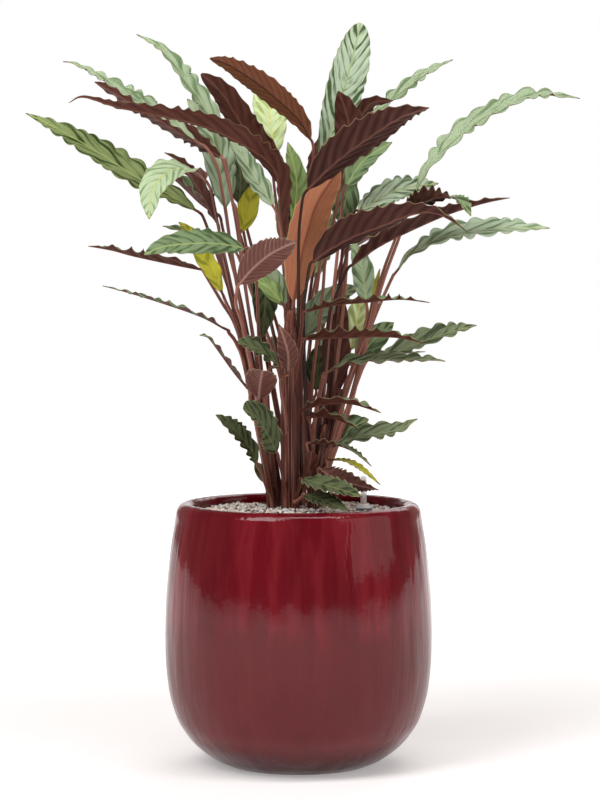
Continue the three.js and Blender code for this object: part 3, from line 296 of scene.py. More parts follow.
# Smaller leaves, each grown together with its shoot.
JOINED_LEAVES = [
  ["dark_back", "right_back", "dark", 30, 0.8, 14, [[0, 1, 0.1], [0, 1, 0.1]],
    [[37, 54, 369], [38, 56, 399], [39, 58, 429], [47, 60, 462]], [[28, 50, 320], [34, 52, 350]]],
  ["olive", "centre_back", "yellow", 22, 0.7, 10, [[0, -1, 0.1], [0, -1, 0.1]],
    [[-59, 84, 534], [-53, 88, 554], [-46, 92, 582]], [[-36, 74, 420], [-57, 82, 520]]],
  ["bright_behind", "right_back", "yellow", 26, 0.7, 12, [[0, -1, 0.1], [0, -1, 0.1]],
    [[53, 76, 413], [59, 80, 438], [65, 86, 468]], [[36, 58, 360], [50, 72, 400]]],
  ["yellow_low", "right_back", "yellow", 18, 0.7, 10, [[0, -1, 0.1], [0, -1, 0.1]],
    [[40, 60, 334], [38, 64, 352], [36, 70, 374]], [[30, 54, 300], [38, 58, 324]]],
  ["dark_behind", "centre_back", "dark", 26, 0.7, 12, [[0, -1, 0.1], [0, -1, 0.1]],
    [[18, 74, 372], [20, 78, 396], [22, 82, 418]], [[4, 62, 330], [14, 70, 360]]],
  ["yellow_left", "left_front", "yellow", 20, 0.8, 10, [[0.3, -0.9, 0.3], [0.3, -0.9, 0.3]],
    [[-77, 8, 474], [-86, 2, 494], [-96, -3, 511], [-108, -8, 533], [-119, -10, 544]],
    [[-50, 26, 400], [-62, 18, 440], [-73, 12, 464]]],
  ["small_left", "left_front", "green", 18, 0.9, 12, [[0, -0.4, 0.9], [0, -0.4, 0.9]],
    [[-84, 12, 518], [-106, 12, 532], [-136, 10, 540]], [[-60, 24, 430], [-76, 14, 500]]],
  ["drooping", "centre_back", "dark", 28, 0.9, 12, [[0, -0.4, 0.9], [0, -0.9, 0.3], [0, -1, 0]],
    [[-21, 72, 503], [-33, 68, 490], [-34, 68, 462], [-37, 72, 425]], [[-6, 62, 420], [-13, 70, 490]]],
  ["grey_small", "centre_back", "pale", 22, 0.8, 12, [[0.1, -1, 0.2], [0.1, -1, 0.2]],
    [[-15, 50, 459], [-21, 50, 477], [-31, 52, 501]], [[-8, 52, 400], [-12, 50, 445]]],
  ["bright_small", "centre_back", "green", 20, 0.8, 12, [[0.2, -0.8, 0.5], [0.2, -0.8, 0.5]],
    [[-17, 40, 462], [-31, 40, 478], [-47, 40, 487]], [[-8, 48, 400], [-13, 42, 446]]],
  ["small_low", "left_front", "dark", 12, 0.7, 10, [[0.2, -1, 0.2], [0.2, -1, 0.2]],
    [[-33, 32, 280], [-38, 32, 291], [-44, 34, 301]], [[-30, 32, 272]]],
  ["front_small", "right_front", "green", 28, 0.9, 22, [[0, 0.25, 0.95], [0, 0.25, 0.95]],
    [[12, -2, 349], [32, -20, 350], [58, -40, 341]], [[14, 14, 300], [11, 4, 340]]],
  ["front_behind", "right_front", "green", 26, 0.8, 12, [[0, -0.7, 0.7], [0, -0.7, 0.7]],
    [[37, 34, 323], [54, 30, 336], [71, 24, 345]], [[24, 30, 290], [32, 34, 312]]],
  ["front_twist", "right_front", "dark", 18, 1, 14, [[0, 0.3, 1], [0, 0.2, 1], [0, 0.1, 1]],
    [[12, -6, 323], [32, -22, 324], [53, -40, 318], [72, -56, 304]], [[12, 12, 280], [10, -2, 312]]],
  ["front_yellow", "right_front", "yellow", 12, 1, 10, [[0, -0.1, 1], [0, -0.1, 1]],
    [[31, 6, 306], [46, -10, 306], [61, -28, 300], [81, -48, 285]], [[20, 18, 275], [28, 10, 298]]],
  ["front_purple", "right_front", "green", 26, 0.9, 16, [[0.1, 0.9, 0.4], [0.1, 0.9, 0.4], [0, 0.5, 0.8]],
    [[23, -8, 296], [41, -26, 287], [59, -44, 284], [79, -62, 281]], [[16, 14, 270], [19, -1, 288]]],
  ["front_dark", "centre", "dark", 26, 0.9, 12, [[0, -0.6, 0.8], [0, -0.6, 0.8]],
    [[4, -14, 288], [22, -38, 285], [42, -62, 281], [62, -82, 276]], [[-2, 8, 268], [2, -6, 281]]],
  ["front_low", "centre", "dark", 22, 1, 10, [[0, -0.6, 0.8], [0, -0.6, 0.8]],
    [[7, -12, 272], [20, -34, 270], [35, -56, 266], [50, -74, 261]], [[-4, 8, 262], [4, -4, 269]]],
  ["front_folded", "right_front", "green", 16, 0.7, 26, [[0.2, 0.8, 0.3], [0.2, 0.8, 0.3]],
    [[10, -12, 296], [12, -20, 306], [13, -26, 316]], [[12, 6, 274], [10, -6, 288]]],
  ["rear_01", "back", "green", 36, 0.9, 18, [[0, 0.3, 0.95], [0, 0.3, 0.95]],
    [[-4, 132, 500], [-8, 190, 550], [-10, 250, 580]], [[-6, 110, 400]]],
  ["rear_02", "back", "green", 34, 0.9, 20, [[0, 0.1, 1], [0, 0.1, 1]],
    [[0, 150, 420], [4, 210, 446], [6, 280, 444]], [[0, 116, 360]]],
  ["rear_03", "back", "dark", 34, 0.9, 20, [[0, 0.1, 1], [0, 0.1, 1]],
    [[-24, 146, 400], [-38, 200, 416], [-50, 266, 406]], [[-8, 116, 350]]],
  ["rear_04", "back", "green", 34, 0.9, 20, [[0, 0.1, 1], [0, 0.1, 1]],
    [[28, 134, 400], [38, 200, 424], [46, 268, 420]], [[8, 112, 350]]],
  ["rear_05", "back", "green", 36, 0.9, 18, [[0, 0.4, 0.9], [0, 0.4, 0.9]],
    [[18, 140, 486], [24, 196, 532], [30, 258, 556]], [[4, 112, 400]]],
  ["rear_06", "back", "green", 32, 0.9, 20, [[0, 0.1, 1], [0, 0.1, 1]],
    [[-36, 140, 478], [-46, 200, 512], [-56, 262, 516]], [[-14, 112, 400]]],
  ["rear_07", "back", "dark", 30, 0.9, 16, [[0, -0.2, 1], [0, 0.3, 1]],
    [[30, 148, 326], [36, 196, 336], [42, 250, 322]], [[8, 110, 300]]],
  ["rear_08", "back", "dark", 30, 0.9, 16, [[0, -0.2, 1], [0, 0.3, 1]],
    [[-16, 150, 326], [-20, 200, 334], [-25, 252, 318]], [[-4, 112, 300]]],
  ["rear_09", "back", "green", 36, 0.7, 14, [[0, 0.9, 0.4], [0, 0.9, 0.4]],
    [[22, 130, 556], [27, 172, 604], [35, 220, 644]], [[4, 108, 400], [16, 116, 500]]],
  ["rear_10", "back", "green", 26, 1, 16, [[0, 0.5, 0.8], [0, 0.5, 0.8]],
    [[-80, 150, 616], [-126, 190, 644], [-184, 226, 668]], [[-20, 112, 400], [-60, 134, 560]]],
  ["rear_11", "back", "green", 28, 0.9, 16, [[0, 0.8, 0.5], [0, 0.8, 0.5]],
    [[36, 118, 586], [65, 160, 620], [100, 205, 649]], [[10, 104, 400], [28, 110, 540]]],
  ["rear_12", "back", "green", 26, 1, 20, [[0, 0.2, 1], [0, 0.2, 1]],
    [[50, 108, 514], [92, 155, 536], [138, 205, 550]], [[12, 100, 380], [38, 102, 480]]],
  ["rear_13", "back", "green", 26, 1, 16, [[0, 0, 1], [0, 0, 1]],
    [[-68, 118, 512], [-108, 148, 521], [-156, 185, 517]], [[-18, 104, 380], [-52, 114, 480]]],
  ["rear_14", "back", "green", 24, 1, 16, [[0, 0, 1], [0, 0, 1]],
    [[44, 100, 394], [86, 138, 404], [134, 175, 407]], [[10, 96, 320], [34, 96, 374]]],
]

# A furled young leaf that has not opened yet: its shoot and its centre line
SPEAR = {
    "shoot": "right_front",
    "line": [[52, 34, 364], [70, 30, 440], [76, 28, 470], [79, 28, 484], [82, 28, 497]],
    "radii": [2.5, 1.8, 1.6, 2.2, 2.8, 0.6],
}

# What sets a leaf apart: colours of its top and underside, slant of its veins, spacing of its pleats and
# height and length of its ruffles in mm, how deep the pleats are and how far the ruffles swing as shares
# of the plain leaf's, taper of its base, and tone of its stalk from 0, nearly black, to 1, pinkish
PLAIN_LOOK = {
    "under": "maroon", "slant": 1.5, "pleat": 8.0, "depth": 1.0, "ruffle": 2.6, "wave": 17.0, "swing": 1.0,
    "base": 0.65,
}
LOOKS = {
    "left_01": {"top": "leafy", "under": "pink", "slant": 3.2, "pleat": 7.5, "depth": 1.7, "ruffle": 2.9},
    "left_02": {"top": "mint", "under": "pink", "slant": 1.4, "ruffle": 1.6, "pleat": 7.0},
    "left_03": {"top": "silver", "slant": 2.4, "pleat": 11.0, "ruffle": 2.9, "wave": 15.0},
    "left_04": {"ruffle": 2.2, "wave": 13.0, "swing": 0.4, "depth": 1.5},
    "left_05": {"top": "silver", "under": "pink", "slant": 2.6, "ruffle": 2.4, "tone": 0.9, "pleat": 11.0},
    "left_06": {"slant": 2.2, "ruffle": 2.0, "wave": 14.0, "swing": 0.3, "pleat": 9.0, "depth": 1.5},
    "left_07": {"slant": 2.0, "tone": 0.1, "pleat": 9.0, "ruffle": 1.8, "depth": 1.4},
    "left_08": {"under": "russet", "ruffle": 1.4, "pleat": 6.0, "wave": 11.0},
    "left_09": {"top": "lime", "under": "pink", "ruffle": 3.4, "wave": 11.0, "slant": 1.0},
    "left_12": {"slant": 2.0},
    "left_14": {"slant": 2.2},
    "left_15": {"top": "fresh"},
    "top_01": {"top": "feather", "slant": 1.7, "pleat": 7.5, "ruffle": 1.2, "wave": 13.0},
    "top_02": {"under": "black", "slant": 1.7, "ruffle": 2.2, "tone": 0.0, "pleat": 10.0, "depth": 1.4},
    "top_03": {"pleat": 10.0},
    "top_05": {"under": "salmon", "slant": 14.0, "pleat": 6.0, "ruffle": 0.6, "tone": 0.7},
    "right_01": {"top": "silver", "slant": 2.8, "ruffle": 2.8, "base": 1.0, "wave": 19.0, "pleat": 12.0},
    "right_02": {"top": "silver", "slant": 2.4, "pleat": 11.0},
    "right_05": {"top": "feather", "slant": 2.0, "ruffle": 3.4, "wave": 9.5},
    "right_06": {"ruffle": 2.8, "wave": 9.0, "swing": 0.25},
    "right_07": {"under": "black", "slant": 1.4, "ruffle": 2.2, "tone": 0.1, "pleat": 10.0, "depth": 1.6},
    "right_08": {"under": "black", "slant": 1.2, "ruffle": 1.6, "tone": 0.1, "pleat": 11.0, "depth": 1.9},
    "right_09": {"top": "pale", "under": "pink", "slant": 2.4, "base": 1.15, "ruffle": 3.0},
    "right_10": {"top": "grey", "ruffle": 3.4, "wave": 15.0},
    "right_11": {"ruffle": 3.0, "wave": 15.0},
    "right_12": {"ruffle": 3.0, "wave": 15.0},
    "right_13": {"top": "sage"},
    "right_14": {"top": "sage"},
    "right_16": {"top": "grey"},
    "mid_01": {"under": "pink", "slant": 1.0, "pleat": 5.5, "ruffle": 1.5, "wave": 9.0, "depth": 1.7},
    "mid_02": {"slant": 1.5, "ruffle": 1.8},
    "mid_06": {"ruffle": 3.0, "wave": 11.0},
    "mid_07": {"under": "pink", "slant": 0.8, "pleat": 6.0, "ruffle": 2.4, "wave": 10.0, "depth": 1.6},
    "mid_08": {"under": "pink", "slant": 0.8, "pleat": 5.5, "ruffle": 2.0, "wave": 10.0, "depth": 1.7},
    "mid_09": {"ruffle": 2.0, "wave": 9.0, "slant": 1.0},
    "mid_10": {"ruffle": 2.2, "wave": 10.0, "slant": 1.0},
    "bright_behind": {"top": "lime"},
    "grey_small": {"top": "grey"},
    "front_01": {"top": "sage"},
    "front_02": {"top": "sage"},
    "front_small": {"top": "sage"},
    "bright_small": {"top": "fresh"},
    "front_yellow": {"ruffle": 2.6, "wave": 9.0},
    "front_dark": {"ruffle": 3.2, "wave": 11.0},
    "front_low": {"ruffle": 3.2, "wave": 11.0},
    "front_purple": {"under": "pink", "ruffle": 2.6, "wave": 9.0, "swing": 0.4},
    "front_twist": {"ruffle": 2.6, "wave": 9.0},
}


# Curves and grids

def curve(points, places):
    """Points on a uniform Catmull-Rom curve through the given points, at places from 0 to 1."""
    knots = np.asarray(points, float)
    knots = np.vstack([2 * knots[0] - knots[1], knots, 2 * knots[-1] - knots[-2]])
    spot = np.clip(places, 0, 1) * (len(knots) - 3)
    index = np.minimum(spot.astype(int), len(knots) - 4)
    t = (spot - index)[:, None]
    a, b, c, d = (knots[index + k] for k in range(4))
    return b + 0.5 * t * (c - a + t * (2 * a - 5 * b + 4 * c - d + t * (3 * (b - c) + d - a)))


def even_curve(points, steps):
    """The same curve at steps + 1 places an equal length apart, and its length."""
    fine = curve(points, np.linspace(0, 1, 600))
    run = np.r_[0, np.cumsum(np.linalg.norm(np.diff(fine, axis=0), axis=1))]
    places = np.linspace(0, run[-1], steps + 1)
    line = np.stack([np.interp(places, run, fine[:, k]) for k in range(3)], axis=1)
    return line, run[-1]


def unit(vectors):
    """The vectors at length 1."""
    return vectors / np.linalg.norm(vectors, axis=-1, keepdims=True)


def directions(line):
    """Unit tangents along a line of points."""
    return unit(np.gradient(line, axis=0))


def smooth(low, high, value):
    """0 below low and 1 above high, with the cubic 3t^2 - 2t^3 between."""
    t = np.clip((value - low) / (high - low), 0, 1)
    return t * t * (3 - 2 * t)


def grid_faces(rows, columns):
    """Quads of a grid whose columns close round, and one cap at each end."""
    row, column = np.meshgrid(np.arange(rows - 1), np.arange(columns), indexing="ij")
    a = row * columns + column
    b = row * columns + (column + 1) % columns
    quads = np.stack([a, b, b + columns, a + columns], axis=-1).reshape(-1, 4).tolist()
    first = list(range(columns))[::-1]
    last = list(range((rows - 1) * columns, rows * columns))
    return quads + [first, last]


def shell(grid):
    """Vertices and faces of a closed shell from a grid of rings, turned so that the faces point outwards."""
    rows, columns, _ = grid.shape
    faces = grid_faces(rows, columns)
    flat = grid.reshape(-1, 3)
    quads = np.array(faces[:-2])
    p, q, r, s = (flat[quads[:, k]] for k in range(4))
    middle = flat.mean(axis=0)
    volume = np.einsum("ij,ij->", np.cross(r - p, s - q), (p + r) / 2 - middle)
    if volume < 0:
        faces = [face[::-1] for face in faces]
    return flat, faces


def piece(name, parts, materials, replaced, flat_shaded=False):
    """One mesh object from parts of (vertices, faces, values at vertices, material number)."""
    vertices = np.vstack([part[0] for part in parts])
    offsets = np.r_[0, np.cumsum([len(part[0]) for part in parts])]
    faces = [[v + int(offset) for v in face] for part, offset in zip(parts, offsets) for face in part[1]]
    mesh = bpy.data.meshes.new(name)
    mesh.from_pydata((vertices * MM).tolist(), [], faces)
    for key in parts[0][2]:
        values = np.concatenate([part[2][key] for part in parts]).astype(np.float32)
        mesh.attributes.new(key, "FLOAT", "POINT").data.foreach_set("value", values)
    for material in materials:
        mesh.materials.append(material)
    numbers = np.concatenate([np.full(len(part[1]), part[3], np.int32) for part in parts])
    mesh.polygons.foreach_set("material_index", numbers)
    mesh.polygons.foreach_set("use_smooth", np.full(len(faces), not flat_shaded))
    mesh.update()
    made = bpy.data.objects.new(name, mesh)
    bpy.context.scene.collection.objects.link(made)
    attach(made, BODY)
    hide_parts(*replaced)


def turned(profile, turns, place=(0, 0)):
    """A profile of radius and height turned round the vertical through a place, as a closed grid."""
    radius, height = np.asarray(profile, float).T
    angle = np.linspace(0, 2 * np.pi, turns, endpoint=False)
    radius = np.maximum(radius, 0.02)
    x = place[0] + radius[:, None] * np.cos(angle)
    y = place[1] + radius[:, None] * np.sin(angle)
    z = np.repeat(height[:, None], turns, axis=1)
    return np.stack([x, y, z], axis=-1)


# Materials

class Shade:
    """One output of a node. Arithmetic on it adds Math nodes."""

    def __init__(self, paint, output):
        self.paint = paint
        self.output = output

    def __add__(self, other):
        return self.paint.math("ADD", self, other)

    def __sub__(self, other):
        return self.paint.math("SUBTRACT", self, other)

    def __rsub__(self, other):
        return self.paint.math("SUBTRACT", other, self)

    def __mul__(self, other):
        return self.paint.math("MULTIPLY", self, other)

    __radd__ = __add__
    __rmul__ = __mul__


class Paint:
    """A material round one Principled shader, whose sockets are fed by name."""

    def __init__(self, name, plain):
        self.material = bpy.data.materials.new(name)
        self.material.use_nodes = True
        self.tree = self.material.node_tree
        self.shader = self.tree.nodes["Principled BSDF"]
        self.feed(plain)

    def connect(self, value, socket):
        """Links a shade to a socket, or sets the socket to a number or colour."""
        if isinstance(value, Shade):
            self.tree.links.new(value.output, socket)
        elif isinstance(value, tuple) and socket.type == "RGBA":
            socket.default_value = (*value, 1.0)
        else:
            socket.default_value = value

    def node(self, kind, settings, inputs, output=0):
        """Adds a node, sets it, feeds its sockets and returns one of its outputs."""
        made = self.tree.nodes.new(kind)
        for key, value in settings.items():
            setattr(made, key, value)
        for key, value in inputs.items():
            self.connect(value, made.inputs[key])
        return Shade(self, made.outputs[output])

    def math(self, operation, *values):
        """Adds a Math node on values."""
        return self.node("ShaderNodeMath", {"operation": operation}, dict(enumerate(values)))

    def value(self, name):
        """A number stored at the piece's vertices."""
        return self.node("ShaderNodeAttribute", {"attribute_name": name}, {}, "Fac")

    def place(self, scale=(1, 1, 1)):
        """Object coordinates, in metres, times a scale."""
        spot = self.node("ShaderNodeTexCoord", {}, {}, "Object")
        return self.node("ShaderNodeVectorMath", {"operation": "MULTIPLY"}, {0: spot, 1: scale})

    def noise(self, spot, scale, detail=2.0, roughness=0.5):
        """Cloudy noise between 0 and 1, mostly near 0.5."""
        inputs = {"Vector": spot, "Scale": scale, "Detail": detail, "Roughness": roughness}
        return self.node("ShaderNodeTexNoise", {}, inputs, "Fac")

    def rise(self, value, low, high, start=0.0, end=1.0):
        """A smooth step from start to end as the value goes from low to high."""
        inputs = {"Value": value, "From Min": low, "From Max": high, "To Min": start, "To Max": end}
        return self.node("ShaderNodeMapRange", {"interpolation_type": "SMOOTHSTEP"}, inputs)

    def wave(self, value, length):
        """A sine of the value between 0 and 1, repeating every length."""
        return self.math("SINE", value * (2 * np.pi / length)) * 0.5 + 0.5

    def mix(self, share, first, second):
        """The first colour where share is 0 and the second where it is 1."""
        return self.node("ShaderNodeMix", {"data_type": "RGBA"}, {0: share, 6: first, 7: second}, 2)

    def feed(self, values):
        """Feeds the shader's sockets and returns the material."""
        for key, value in values.items():
            self.connect(value, self.shader.inputs[key])
        return self.material

    def bump(self, height, distance):
        """A normal tilted by a height, whose full range is the distance in metres."""
        return self.node("ShaderNodeBump", {}, {"Height": height, "Distance": distance})


# Colours of a blade's top: ground, streaks, midrib, rim, and how strong the streaks are
TOPS = {
    "green": ((0.21, 0.3, 0.15), (0.036, 0.068, 0.024), (0.35, 0.44, 0.18), (0.26, 0.28, 0.12), 0.8),
    "leafy": ((0.25, 0.325, 0.125), (0.03, 0.058, 0.01), (0.38, 0.47, 0.16), (0.27, 0.29, 0.12), 0.97),
    "pale": ((0.46, 0.585, 0.41), (0.11, 0.18, 0.07), (0.48, 0.56, 0.25), (0.42, 0.43, 0.25), 0.8),
    "mint": ((0.47, 0.6, 0.37), (0.12, 0.21, 0.075), (0.52, 0.57, 0.2), (0.45, 0.46, 0.25), 0.75),
    "feather": ((0.5, 0.62, 0.45), (0.06, 0.105, 0.035), (0.4, 0.47, 0.2), (0.34, 0.34, 0.18), 0.97),
    "grey": ((0.35, 0.455, 0.29), (0.09, 0.15, 0.06), (0.44, 0.5, 0.25), (0.42, 0.42, 0.24), 0.8),
    "silver": ((0.39, 0.5, 0.32), (0.13, 0.21, 0.09), (0.45, 0.53, 0.27), (0.34, 0.38, 0.2), 0.8),
    "sage": ((0.22, 0.275, 0.15), (0.04, 0.062, 0.025), (0.33, 0.38, 0.18), (0.34, 0.34, 0.2), 0.85),
    "dark": ((0.115, 0.145, 0.068), (0.026, 0.036, 0.013), (0.19, 0.21, 0.085), (0.42, 0.38, 0.23), 0.85),
    "lime": ((0.7, 0.82, 0.46), (0.34, 0.45, 0.09), (0.72, 0.76, 0.27), (0.6, 0.58, 0.26), 0.7),
    "fresh": ((0.3, 0.42, 0.16), (0.09, 0.17, 0.04), (0.48, 0.58, 0.2), (0.27, 0.33, 0.1), 0.75),
    "yellow": ((0.52, 0.5, 0.045), (0.2, 0.24, 0.02), (0.5, 0.42, 0.05), (0.4, 0.3, 0.03), 0.8),
    "young": ((0.35, 0.15, 0.06), (0.26, 0.09, 0.04), (0.3, 0.1, 0.05), (0.7, 0.55, 0.3), 0.4),
}
# Colours of an underside: ground, lighter veins, midrib, rim, how strong the veins are, and how dark the
# painted shade in the hollows between its pleats. The rim is lighter, partly the margin's own colour and
# partly a painted highlight along the edge.
UNDERSIDES = {
    "maroon": (
        (0.095, 0.03, 0.021), (0.18, 0.075, 0.056), (0.17, 0.068, 0.045), (0.12, 0.06, 0.04), 0.3, 0.35),
    "black": (
        (0.064, 0.022, 0.017), (0.16, 0.068, 0.055), (0.17, 0.066, 0.05), (0.3, 0.15, 0.1), 0.4, 0.5),
    "pink": (
        (0.16, 0.065, 0.052), (0.34, 0.185, 0.155), (0.37, 0.2, 0.165), (0.32, 0.21, 0.16), 0.7, 0.25),
    "russet": (
        (0.215, 0.075, 0.04), (0.28, 0.12, 0.068), (0.06, 0.02, 0.012), (0.24, 0.12, 0.06), 0.5, 0.25),
    "salmon": (
        (0.4, 0.148, 0.076), (0.27, 0.13, 0.045), (0.24, 0.065, 0.038), (0.66, 0.45, 0.22), 1.0, 0.12),
}
TIP_COLOR = (0.09, 0.045, 0.025)
# Painted shade laid into the hollows between an underside's pleats
PLEAT_SHADE_COLOR = (0.02, 0.006, 0.005)


def blade_paint(top, underside):
    """Velvety leaf. The vein value counts pleats, and it and the distance from the midrib give streaks
    that are long along the veins and narrow across them. The midrib and rim follow their distances, and
    the last of the tip is dry. Below, the hollows between the pleats are painted shade, and the lighter
    rim is partly the margin's own colour and partly a painted highlight along the edge."""
    paint = Paint(f"leaf {top} {underside}", {"Specular IOR Level": 0.14})
    ground, streak, rib, rim, strength = TOPS[top]
    under_ground, under_veins, under_rib, under_rim_and_highlight, under_strength, pleat_shade = UNDERSIDES[underside]
    vein, reach, inset = paint.value("vein"), paint.value("reach"), paint.value("inset")
    along_veins = paint.node("ShaderNodeCombineXYZ", {}, {0: vein, 1: reach * 0.045})
    bands = paint.noise(along_veins, 1.1, 1.0)
    hairs = paint.noise(along_veins, 3.4, 1.0)
    folds = paint.wave(vein, 1.0)
    half = reach + inset + 0.01
    margin = paint.math("DIVIDE", reach, half)
    dark = paint.rise(folds * 0.32 + bands * 1.1 + hairs * 0.45 + margin * 0.1, 0.92, 1.22)
    upper = paint.mix(dark * strength, ground, streak)
    upper = paint.mix(paint.rise(hairs, 0.56, 0.7) * 0.4, upper, streak)
    upper = paint.mix(paint.rise(hairs, 0.45, 0.32) * 0.5, upper, ground)
    upper = paint.mix(paint.rise(reach, 1.2, 0.5) * 0.85, upper, rib)
    upper = paint.mix(paint.rise(inset, 0.7, 0.2) * 0.7, upper, rim)
    pale = paint.rise(folds * 0.7 + bands * 0.5 + hairs * 0.3, 0.98, 1.3)
    # Painted shade in the hollows between the underside's pleats, as dark as its share says
    low = paint.rise(folds + bands * 0.4, 0.75, 0.3)
    lower = paint.mix(low * pleat_shade, under_ground, PLEAT_SHADE_COLOR)
    lower = paint.mix(pale * under_strength, lower, under_veins)
    lower = paint.mix(paint.rise(reach, 1.4, 0.6) * 0.8, lower, under_rib)
    # The lighter rim: partly the margin's own colour, partly a painted highlight along the edge
    lower = paint.mix(paint.rise(inset, 1.0, 0.3) * 0.6, lower, under_rim_and_highlight)
    color = paint.mix(paint.rise(paint.value("under"), 0.3, 0.7), upper, lower)
    return paint.feed({
        "Base Color": paint.mix(paint.rise(half + inset, 1.9, 0.9), color, TIP_COLOR),
        "Roughness": paint.rise(hairs, 0.3, 0.7, 0.48, 0.6),
    })


def stalk_paint():
    """Satin reddish brown with long streaks, from a pinkish to a nearly black stalk. The streaks are partly
    its own colour and partly painted light: painted shade in the grooves and painted pink highlights on
    thin ridges. Painted shade also darkens it lower down, under the leaves.
    """
    paint = Paint("stalk", {"Specular IOR Level": 0.25})
    tone, run = paint.value("tone"), paint.value("run")
    inputs = {0: paint.value("aside"), 1: paint.value("front"), 2: run * 0.008}
    streak = paint.noise(paint.node("ShaderNodeCombineXYZ", {}, inputs), 0.8, 1.5)
    fine = paint.noise(paint.node("ShaderNodeCombineXYZ", {}, inputs), 1.9, 1.5)
    height = paint.node("ShaderNodeSeparateXYZ", {}, {0: paint.place()}, 2)
    # Streaks darker where the bump is low: partly the stalk's own streaks, partly painted shade in its
    # grooves
    color = paint.mix(paint.rise(streak, 0.38, 0.58), (0.042, 0.01, 0.008), (0.24, 0.068, 0.045))
    # Painted shade under the leaves: darker lower down the stalks
    color = paint.mix(paint.rise(height, 0.42, 0.26) * 0.45, color, (0.05, 0.014, 0.011))
    # Painted shade in fine grooves
    color = paint.mix(paint.rise(fine, 0.42, 0.32) * 0.5, color, (0.03, 0.008, 0.006))
    # Painted pink highlights along thin ridges
    color = paint.mix(paint.rise(fine + tone * 0.16, 0.58, 0.72) * 0.8, color, (0.5, 0.24, 0.18))
    color = paint.mix(paint.rise(tone, 0.5, 0.95) * 0.6, color, (0.4, 0.165, 0.12))
    color = paint.mix(paint.rise(tone, 0.26, 0.1) * 0.85, color, (0.014, 0.007, 0.006))
    return paint.feed({
        "Base Color": color,
        "Roughness": paint.rise(streak, 0.3, 0.7, 0.5, 0.36),
        "Normal": paint.bump(streak, 0.0008),
    })


def spear_paint():
    """The furled leaf: reddish where it leaves its stalk, then yellow green."""
    paint = Paint("furled leaf", {"Roughness": 0.45})
    height = paint.node("ShaderNodeSeparateXYZ", {}, {0: paint.place()}, 2)
    streak = paint.noise(paint.place((500, 500, 20)), 1.0, 2.0)
    color = paint.mix(streak, (0.28, 0.3, 0.03), (0.5, 0.46, 0.07))
    color = paint.mix(paint.rise(height, 0.474, 0.462), color, (0.12, 0.035, 0.025))
    return paint.feed({"Base Color": color})


def glaze_paint():
    """Glossy dark red glaze: runs and pits in its surface, saturated above, and duller below an uneven
    line. Painted shade darkens its foot."""
    paint = Paint("red glaze", {"Specular IOR Level": 0.32})
    runs = paint.noise(paint.place((60, 60, 5)), 1.0, 3.0, 0.55)
    thick = paint.noise(paint.place((17, 17, 5)), 1.0, 2.0, 0.5)
    cloud = paint.noise(paint.place(), 34.0, 4.0, 0.6)
    height = paint.node("ShaderNodeSeparateXYZ", {}, {0: paint.place()}, 2)
    color = paint.mix(paint.rise(runs, 0.4, 0.62), (0.13, 0.0012, 0.007), (0.18, 0.008, 0.015))
    color = paint.mix(paint.rise(thick, 0.45, 0.7) * 0.6, color, (0.08, 0.001, 0.005))
    dull = paint.rise(height + cloud * 0.03 + runs * 0.075 + thick * 0.06, 0.24, 0.217)
    color = paint.mix(dull * 0.8, color, paint.mix(cloud, (0.1, 0.009, 0.011), (0.14, 0.014, 0.017)))
    # Painted shade at the foot, where the belly curves under towards the floor
    color = paint.mix(paint.rise(height, 0.04, 0.008) * 0.8, color, (0.035, 0.001, 0.003))
    return paint.feed({
        "Base Color": color,
        "Roughness": dull * 0.12 + paint.rise(cloud, 0.3, 0.7, 0.05, 0.12),
        "Normal": paint.bump(runs * 0.5 + thick * 2.0 + cloud * 0.1, 0.0021),
    })


def grain_paint():
    """Crushed pumice: cream, white, pinkish, bluish and a few brown grains by the tone of each."""
    paint = Paint("pumice", {"Roughness": 0.9, "Specular IOR Level": 0.3})
    tone = paint.value("tone")
    speck = paint.noise(paint.place(), 900.0, 3.0)
    shade = paint.math("FRACT", tone * 13.7)
    color = paint.mix(paint.rise(tone, 0.14, 0.16), (0.12, 0.08, 0.06), (0.95, 0.79, 0.63))
    color = paint.mix(paint.rise(tone, 0.36, 0.4), color, (0.96, 0.93, 0.88))
    color = paint.mix(paint.rise(tone, 0.7, 0.73), color, (0.93, 0.78, 0.72))
    color = paint.mix(paint.rise(tone, 0.86, 0.88), color, (0.78, 0.92, 0.96))
    color = paint.mix(paint.rise(speck, 0.5, 0.78) * 0.22, color, (0.34, 0.3, 0.27))
    color = paint.mix(paint.rise(shade, 0.6, 0.0) * 0.7, color, (0.2, 0.175, 0.16))
    return paint.feed({"Base Color": color, "Normal": paint.bump(speck, 0.0006)})


def bed_paint():
    """The shadowed gravel under the top grains."""
    paint = Paint("gravel bed", {"Roughness": 0.95})
    speck = paint.noise(paint.place(), 380.0, 3.0)
    color = paint.mix(paint.rise(speck, 0.4, 0.65), (0.02, 0.014, 0.012), (0.15, 0.12, 0.1))
    return paint.feed({"Base Color": color, "Normal": paint.bump(speck, 0.001)})


def tube_paint():
    """Clear plastic, a little milky, through which the float shows."""
    paint = Paint("clear tube", {"Specular IOR Level": 0.3})
    haze = paint.noise(paint.place((200, 200, 40)), 1.0)
    return paint.feed({
        "Base Color": paint.mix(haze, (0.93, 0.94, 0.95), (1.0, 1.0, 1.0)),
        "Roughness": paint.rise(haze, 0.3, 0.7, 0.15, 0.25),
        "Alpha": paint.rise(haze, 0.3, 0.7, 0.34, 0.44),
    })


